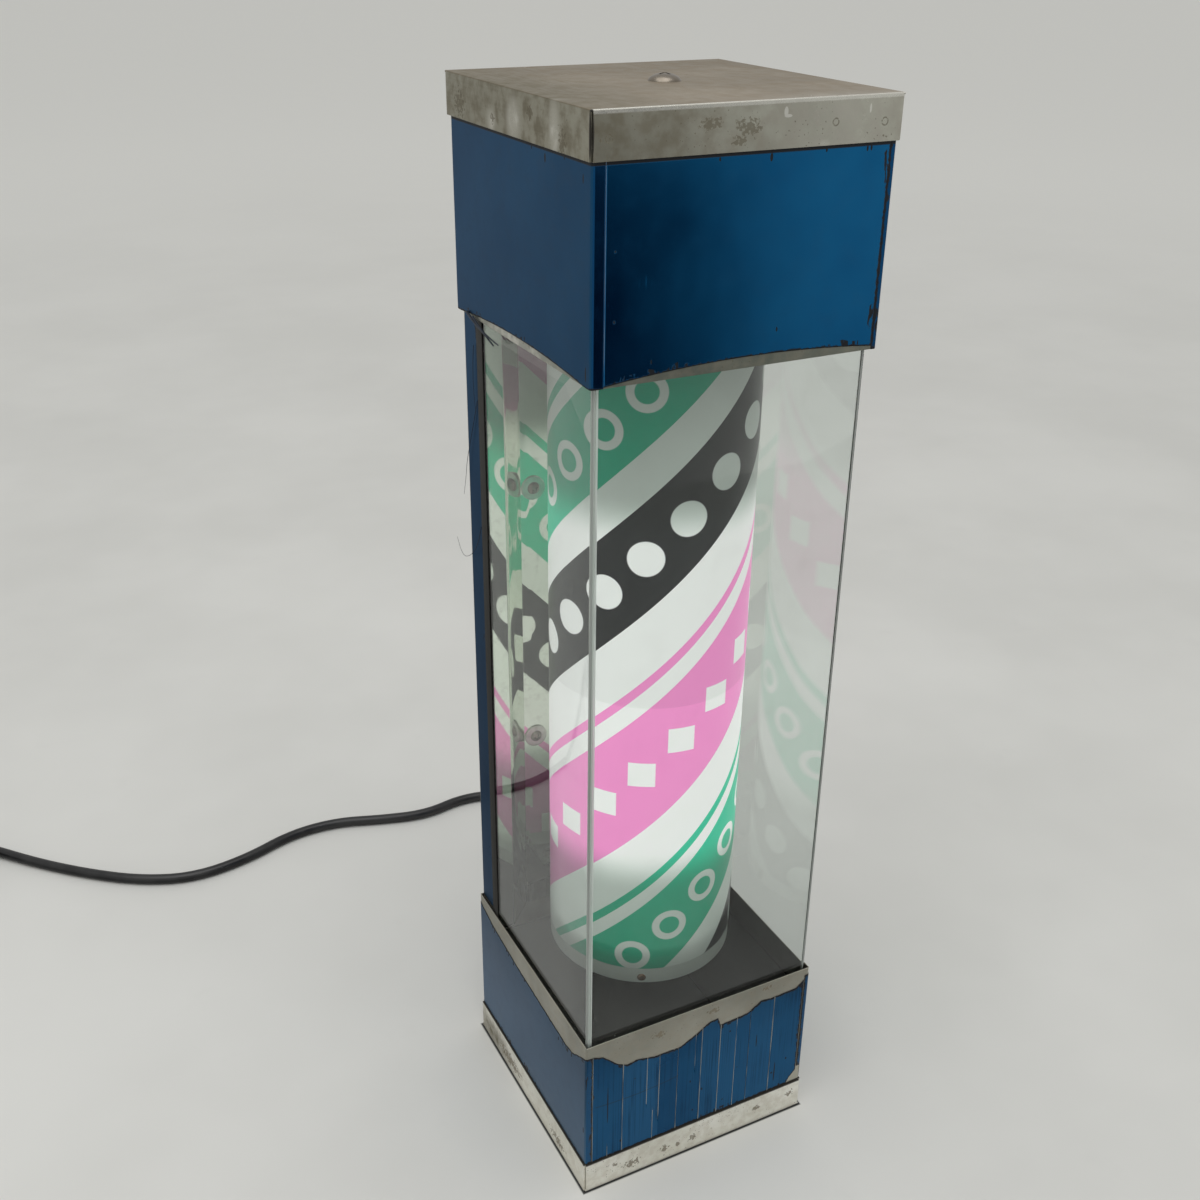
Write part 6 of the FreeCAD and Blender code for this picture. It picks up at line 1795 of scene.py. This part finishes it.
# Screws: where each stands comes from the node's own boxes
screwLook = {
    "Across": 7.2 * mm,
    "High": 2.2 * mm,
    "Shank": 2.0 * mm,
    "Slot": 0.95 * mm,
    "Arm": 2.0 * mm,
    "Recess": 1.2 * mm,
    "Turn": 3.1,
}
capScrewLook = {
    "Across": 15.5 * mm,
    "High": 3.4 * mm,
    "Shank": 2.95 * mm,
    "Slot": 1.2 * mm,
    "Arm": 3.4 * mm,
    "Recess": 1.5 * mm,
    "Turn": 0.9,
}


def addScrews(node, aim, look, finish, seed):
    aim = Vector(aim)
    axis = max(range(3), key=lambda number: abs(aim[number]))
    spots = []
    for low, high in islandBoxes(node):
        place = (low + high) / 2
        tip = high[axis] if aim[axis] > 0 else low[axis]
        place[axis] = tip - aim[axis] * look["High"]
        spots.append((place, aim, 1.0, 0.0))
    long = high[axis] - low[axis] - look["High"]
    sizes = dict(look, Long=long, Seed=seed, Finish=finishes[finish])
    mesh = grown("%s_made" % node, domedHeads, spots, sizes)
    addPiece("%s_made" % node, mesh, finishes[finish], "root", (node,))


addScrews("cap_screw", (0, 0, 1), capScrewLook, "screwSteel", 1)
addScrews("housing_screws", (0, 1, 0), screwLook, "screwSteel", 2)
addScrews("reflector_screws", (0, -1, 0), screwLook, "screwSteel", 3)


def ringSizes(radius, thick, deep, soft, finish):
    return {"Wide": 2 * radius, "High": 2 * radius, "Corner": radius, "Thick": thick, "Deep": deep,
            "Soft": soft, "Finish": finishes[finish]}


def addWashers():
    spots = [((low + high) / 2, (0, -1, 0), 1.0, 0.0) for low, high in islandBoxes("reflector_washers")]
    low, high = islandBoxes("reflector_washers")[0]
    outer = (high.x - low.x) / 2
    bore = 2.1 * mm
    sizes = ringSizes((outer + bore) / 2, outer - bore, high.y - low.y, 0.25 * mm, "washerSteel")
    mesh = grown("mirror_washers", roundedLoops, spots, sizes)
    addPiece("mirror_washers", mesh, finishes["washerSteel"], "root", ("reflector_washers",))


addWashers()

# Gland: a flange against the casing and a tapered, ribbed sleeve round the cord
glandLook = {
    "wall": 75.2,
    "flange": 9.5,
    "neck": 6.3,
    "root": 6.4,
    "tip": 4.6,
    "ribs": 8,
    "ribThick": 1.6,
    "ribDeep": 1.9,
    "sleeveFrom": 3.2,
    "bore": 3.7,
}


def addGland():
    low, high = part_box("cord_gland")
    centre = (low + high) / 2
    wall = glandLook["wall"] * mm
    neck, flange, bore = glandLook["neck"] * mm, glandLook["flange"] * mm, glandLook["bore"] * mm
    reach, tip = glandLook["root"] * mm, glandLook["tip"] * mm
    start = wall + glandLook["sleeveFrom"] * mm
    profile = [
        (bore, low.y), (flange - 0.5 * mm, low.y), (flange, low.y + 0.5 * mm), (flange, wall - 1.3 * mm),
        (neck, wall - 1.3 * mm), (neck, wall + 0.02 * mm), (flange, wall + 0.02 * mm),
        (flange, wall + 1.8 * mm), (flange - 1.2 * mm, wall + 3 * mm), (reach, start),
        (tip, high.y - 0.6 * mm), (tip - 0.5 * mm, high.y), (bore, high.y), (bore, low.y),
    ]
    sleeve = lathe("gland_sleeve", profile, 40, 40)
    sleeve.transform(Matrix.Translation((centre.x, 0, centre.z)) @ Matrix.Rotation(math.radians(-90), 4, "X"))
    addPiece("gland_sleeve", sleeve, finishes["blackRubber"], "root", ("cord_gland",))
    spots = []
    for number in range(glandLook["ribs"]):
        share = (number + 0.6) / glandLook["ribs"]
        radius = glandLook["root"] + (glandLook["tip"] - glandLook["root"]) * share
        place = Vector((centre.x, start + (high.y - start - 1.2 * mm) * share, centre.z))
        spots.append((place, (0, 1, 0), radius / glandLook["root"], 0.0))
    sizes = ringSizes(reach, glandLook["ribThick"] * mm, glandLook["ribDeep"] * mm, 0.5 * mm, "blackRubber")
    ribs = grown("gland_ribs", roundedLoops, spots, sizes)
    addPiece("gland_ribs", ribs, finishes["blackRubber"], "root", ("cord_gland",))


addGland()

# Plug: a moulded body with finger grips, lofted through rounded sections along -Y
plugLook = {
    "neckLong": 20.0,
    "bodyLong": 34.0,
    "halfWide": 12.0,
    "halfHigh": 8.0,
    "neckRadius": 4.5,
    "corner": 5.0,
    "grips": 5,
    "gripDeep": 0.8,
    "gripShare": 0.62,
    "steps": 6,
}


def roundedSection(halfWide, halfHigh, corner, steps):
    # Points round a rectangle with rounded corners, anticlockwise
    corner = min(corner, halfWide, halfHigh)
    points = []
    for quarter, (across, up) in enumerate(((1, 1), (-1, 1), (-1, -1), (1, -1))):
        for step in range(steps + 1):
            angle = math.pi / 2 * (quarter + step / steps)
            points.append((across * (halfWide - corner) + corner * math.cos(angle),
                           up * (halfHigh - corner) + corner * math.sin(angle)))
    return points


def plugSections():
    # Distance from the cord's end, half width, half height and corner radius of every section
    look = plugLook
    neck, halfWide, halfHigh = look["neckRadius"], look["halfWide"], look["halfHigh"]
    sections = [(0.0, 3.9, 3.9, 3.9), (0.8, neck, neck, neck)]
    for step in range(1, 9):
        share = step / 8
        ease = share * share * (3 - 2 * share)
        wide = neck + (halfWide - neck) * ease
        tall = neck + (halfHigh - neck) * ease
        sections.append((look["neckLong"] * (0.25 + 0.75 * share), wide, tall, min(wide, tall)))
    for step in range(1, 25):
        share = step / 24
        grip = 0.0
        if share < look["gripShare"]:
            turned = 2 * math.pi * look["grips"] * share / look["gripShare"]
            grip = look["gripDeep"] * (0.5 - 0.5 * math.cos(turned))
        reach = look["neckLong"] + (look["bodyLong"] - 1.2) * share
        corner = halfHigh - (halfHigh - look["corner"]) * share
        sections.append((reach, halfWide - grip, halfHigh - 0.25 * grip, corner))
    sections.append((look["neckLong"] + look["bodyLong"], halfWide - 1.0, halfHigh - 1.0, look["corner"] - 1))
    return sections


def addPlug():
    low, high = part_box("plug_body")
    middle = (low + high) / 2
    sections = plugSections()
    points = []
    faces = []
    for reach, wide, tall, corner in sections:
        for across, up in roundedSection(wide, tall, corner, plugLook["steps"]):
            points.append((middle.x + across * mm, high.y - reach * mm, middle.z + up * mm))
    ring = 4 * (plugLook["steps"] + 1)
    for number in range(len(sections) - 1):
        for spot in range(ring):
            first = number * ring
            following = (spot + 1) % ring
            faces.append((first + spot, first + following, first + ring + following, first + ring + spot))
    faces.append(tuple(range(ring)))
    faces.append(tuple(range((len(sections) - 1) * ring, len(sections) * ring))[::-1])
    mesh = meshFrom("moulded_plug", points, faces, False)
    outward(mesh, 35, 1e-6)
    addPiece("moulded_plug", mesh, finishes["cordBlack"], "root", ("plug_body",))


addPlug()


# Straps that hold the coil's turns together
tieLook = {
    "angles": (110, 290),
    "thick": 0.9,
    "wide": 8.0,
    "corner": 4.5,
    "slack": 0.4,
}


def addTies():
    coil, centre = coilPoints()
    low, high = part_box("cord_ties")
    outer = cordLook["coilRadius"] + cordLook["radius"] + tieLook["slack"]
    nearest = min((Vector((spot.x, spot.y)) - Vector((centre.x, centre.y))).length for spot in coil)
    inner = nearest - cordLook["radius"] - tieLook["slack"]
    middle = (outer + inner) / 2
    spots = []
    for degrees in tieLook["angles"]:
        angle = math.radians(degrees)
        place = (mm * (centre.x + middle * math.cos(angle)), mm * (centre.y + middle * math.sin(angle)),
                 (low.z + high.z) / 2)
        spots.append((place, (-math.sin(angle), math.cos(angle), 0), 1.0, angle))
    thick = tieLook["thick"] * mm
    sizes = {"Wide": (outer - inner) * mm + thick, "High": high.z - low.z - thick,
             "Corner": tieLook["corner"] * mm, "Thick": thick, "Deep": tieLook["wide"] * mm, "Soft": 0.3 * mm,
             "Finish": finishes["blackRubber"]}
    mesh = grown("coil_straps", roundedLoops, spots, sizes)
    addPiece("coil_straps", mesh, finishes["blackRubber"], "root", ("cord_ties",))


addTies()
addCord()
print("fasteners, gland, plug and cord made")

# Pieces whose CAD shape is right as it is
plainPieces = {
    "deck_plate": ("deckPaint", 0.3),
    "deck_cover": ("deckPaint", 0.3),
    "window_channel_left": ("channelRubber", 0.3),
    "window_channel_right": ("channelRubber", 0.3),
    "cap_nut": ("screwSteel", 0.3),
    "chassis_screws": ("screwSteel", 0.2),
    "motor_base": ("motorPaint", 0.2),
    "motor_case": ("motorPaint", 0.4),
    "motor_coil": ("coilTape", 0.5),
    "gear_pins": ("bearingBrass", 0.1),
    "shaft_bush": ("bearingBrass", 0.2),
    "drive_shaft": ("screwSteel", 0.2),
    "drive_gear": ("gearPlastic", 0.05),
    "idler_gear": ("gearPlastic", 0.05),
    "motor_rotor": ("magnetBlack", 0.1),
    "drum_spider": ("zincSteel", 0.2),
    "drum_hub": ("bearingBrass", 0.25),
    "hub_screws": ("screwSteel", 0.1),
    "hub_set_screw": ("screwSteel", 0.1),
    "lamp_holder_lower": ("holderPlastic", 0.8),
    "lamp_holder_upper": ("holderPlastic", 0.8),
    "lamp_caps": ("lampCap", 0.2),
    "starter": ("starterPlastic", 0.8),
    "starter_socket": ("holderPlastic", 0.6),
    "ballast": ("ballastPaint", 0.6),
    "ballast_screws": ("screwSteel", 0.2),
    "drum_rivets": ("rivetBrass", 0.15),
    "terminal_block": ("holderPlastic", 0.5),
    "inner_leads": ("leadPlastic", 0.0),
    "motor_lead": ("leadPlastic", 0.0),
    "plug_pins": ("plugBrass", 0.3),
    "drum_bottom_ring": ("hoopPlastic", 0.3),
}
for node, (finish, edge) in plainPieces.items():
    dressed(node, finishes[finish], edge * mm)
dressed("lamp_glass", lampTube, 0.3 * mm)
print("plain pieces dressed")

def addWindow():
    low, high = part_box("window")
    half = high.x - paneLook["thick"] * mm
    front = low.y + paneLook["thick"] * mm
    corners = [(-half, high.y), (-half, front), (half, front), (half, high.y)]
    path = bentPath(corners, (paneLook["bend"] - paneLook["thick"]) * mm, 0.03, 10)
    mesh = upright("clear_window", path, paneLook["thick"] * mm, low.z, high.z)
    piece = addPiece("clear_window", mesh, clearPane, replaced=("window",))
    mesh.materials.append(paleBendAndHighlight)
    for face in mesh.polygons:
        turned = math.degrees(math.atan2(abs(face.normal.y), abs(face.normal.x)))
        clearMiddle = face.center.x > 0 and paneLook["clearFrom"] < turned < paneLook["clearTo"]
        if 3 < turned < 87 and not clearMiddle:
            face.material_index = 1
    bevelled(piece, 0.25 * mm, 2, 50)


addWindow()

# Drum: the tube, and the printed film round it
drumLook = {
    "sides": 128,
    "tubeOuter": 52.9,
    "tubeWall": 1.5,
    "printThick": 0.2,
}


def addDrum():
    low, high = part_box("drum_tube")
    outer = drumLook["tubeOuter"] * mm
    inner = outer - drumLook["tubeWall"] * mm
    soft = 0.3 * mm
    profile = [
        (inner, low.z), (outer - soft, low.z), (outer, low.z + soft), (outer, high.z - soft),
        (outer - soft, high.z), (inner, high.z), (inner, low.z),
    ]
    tube = lathe("drum_wall", profile, drumLook["sides"], 50)
    addPiece("drum_wall", tube, drumPlastic, drumBody, ("drum_tube",))
    low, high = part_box("drum_print")
    outer = high.x
    inner = outer - drumLook["printThick"] * mm
    sides = drumLook["sides"]
    rows = 24
    points = []
    faces = []
    around = []
    slanted = []
    circle = 2 * math.pi * outer
    slope = math.radians(printLook["slant"])
    period = circle * math.sin(slope)
    for turn in range(sides + 1):
        angle = 2 * math.pi * turn / sides
        for row in range(rows + 1):
            height = low.z + (high.z - low.z) * row / rows
            points.append((outer * math.cos(angle), outer * math.sin(angle), height))
    for turn in range(sides):
        for row in range(rows):
            first = turn * (rows + 1) + row
            second = first + rows + 1
            faces.append((first, second, second + 1, first + 1))
            for spot in faces[-1]:
                side = circle * (spot // (rows + 1)) / sides
                height = points[spot][2]
                around += [side / circle, height]
                across = height * math.cos(slope) - side * math.sin(slope)
                along = height * math.sin(slope) + side * math.cos(slope)
                slanted += [across / period, along / period]
    mesh = meshFrom("printed_film", points, faces)
    for label, values in (("printMap", around), ("stripeMap", slanted)):
        mesh.uv_layers.new(name=label).data.foreach_set("uv", values)
    piece = addPiece("printed_film", mesh, drumPrint, drumBody, ("drum_print",))
    thickened(piece, drumLook["printThick"] * mm, -1)


addDrum()
print("window and drum made")
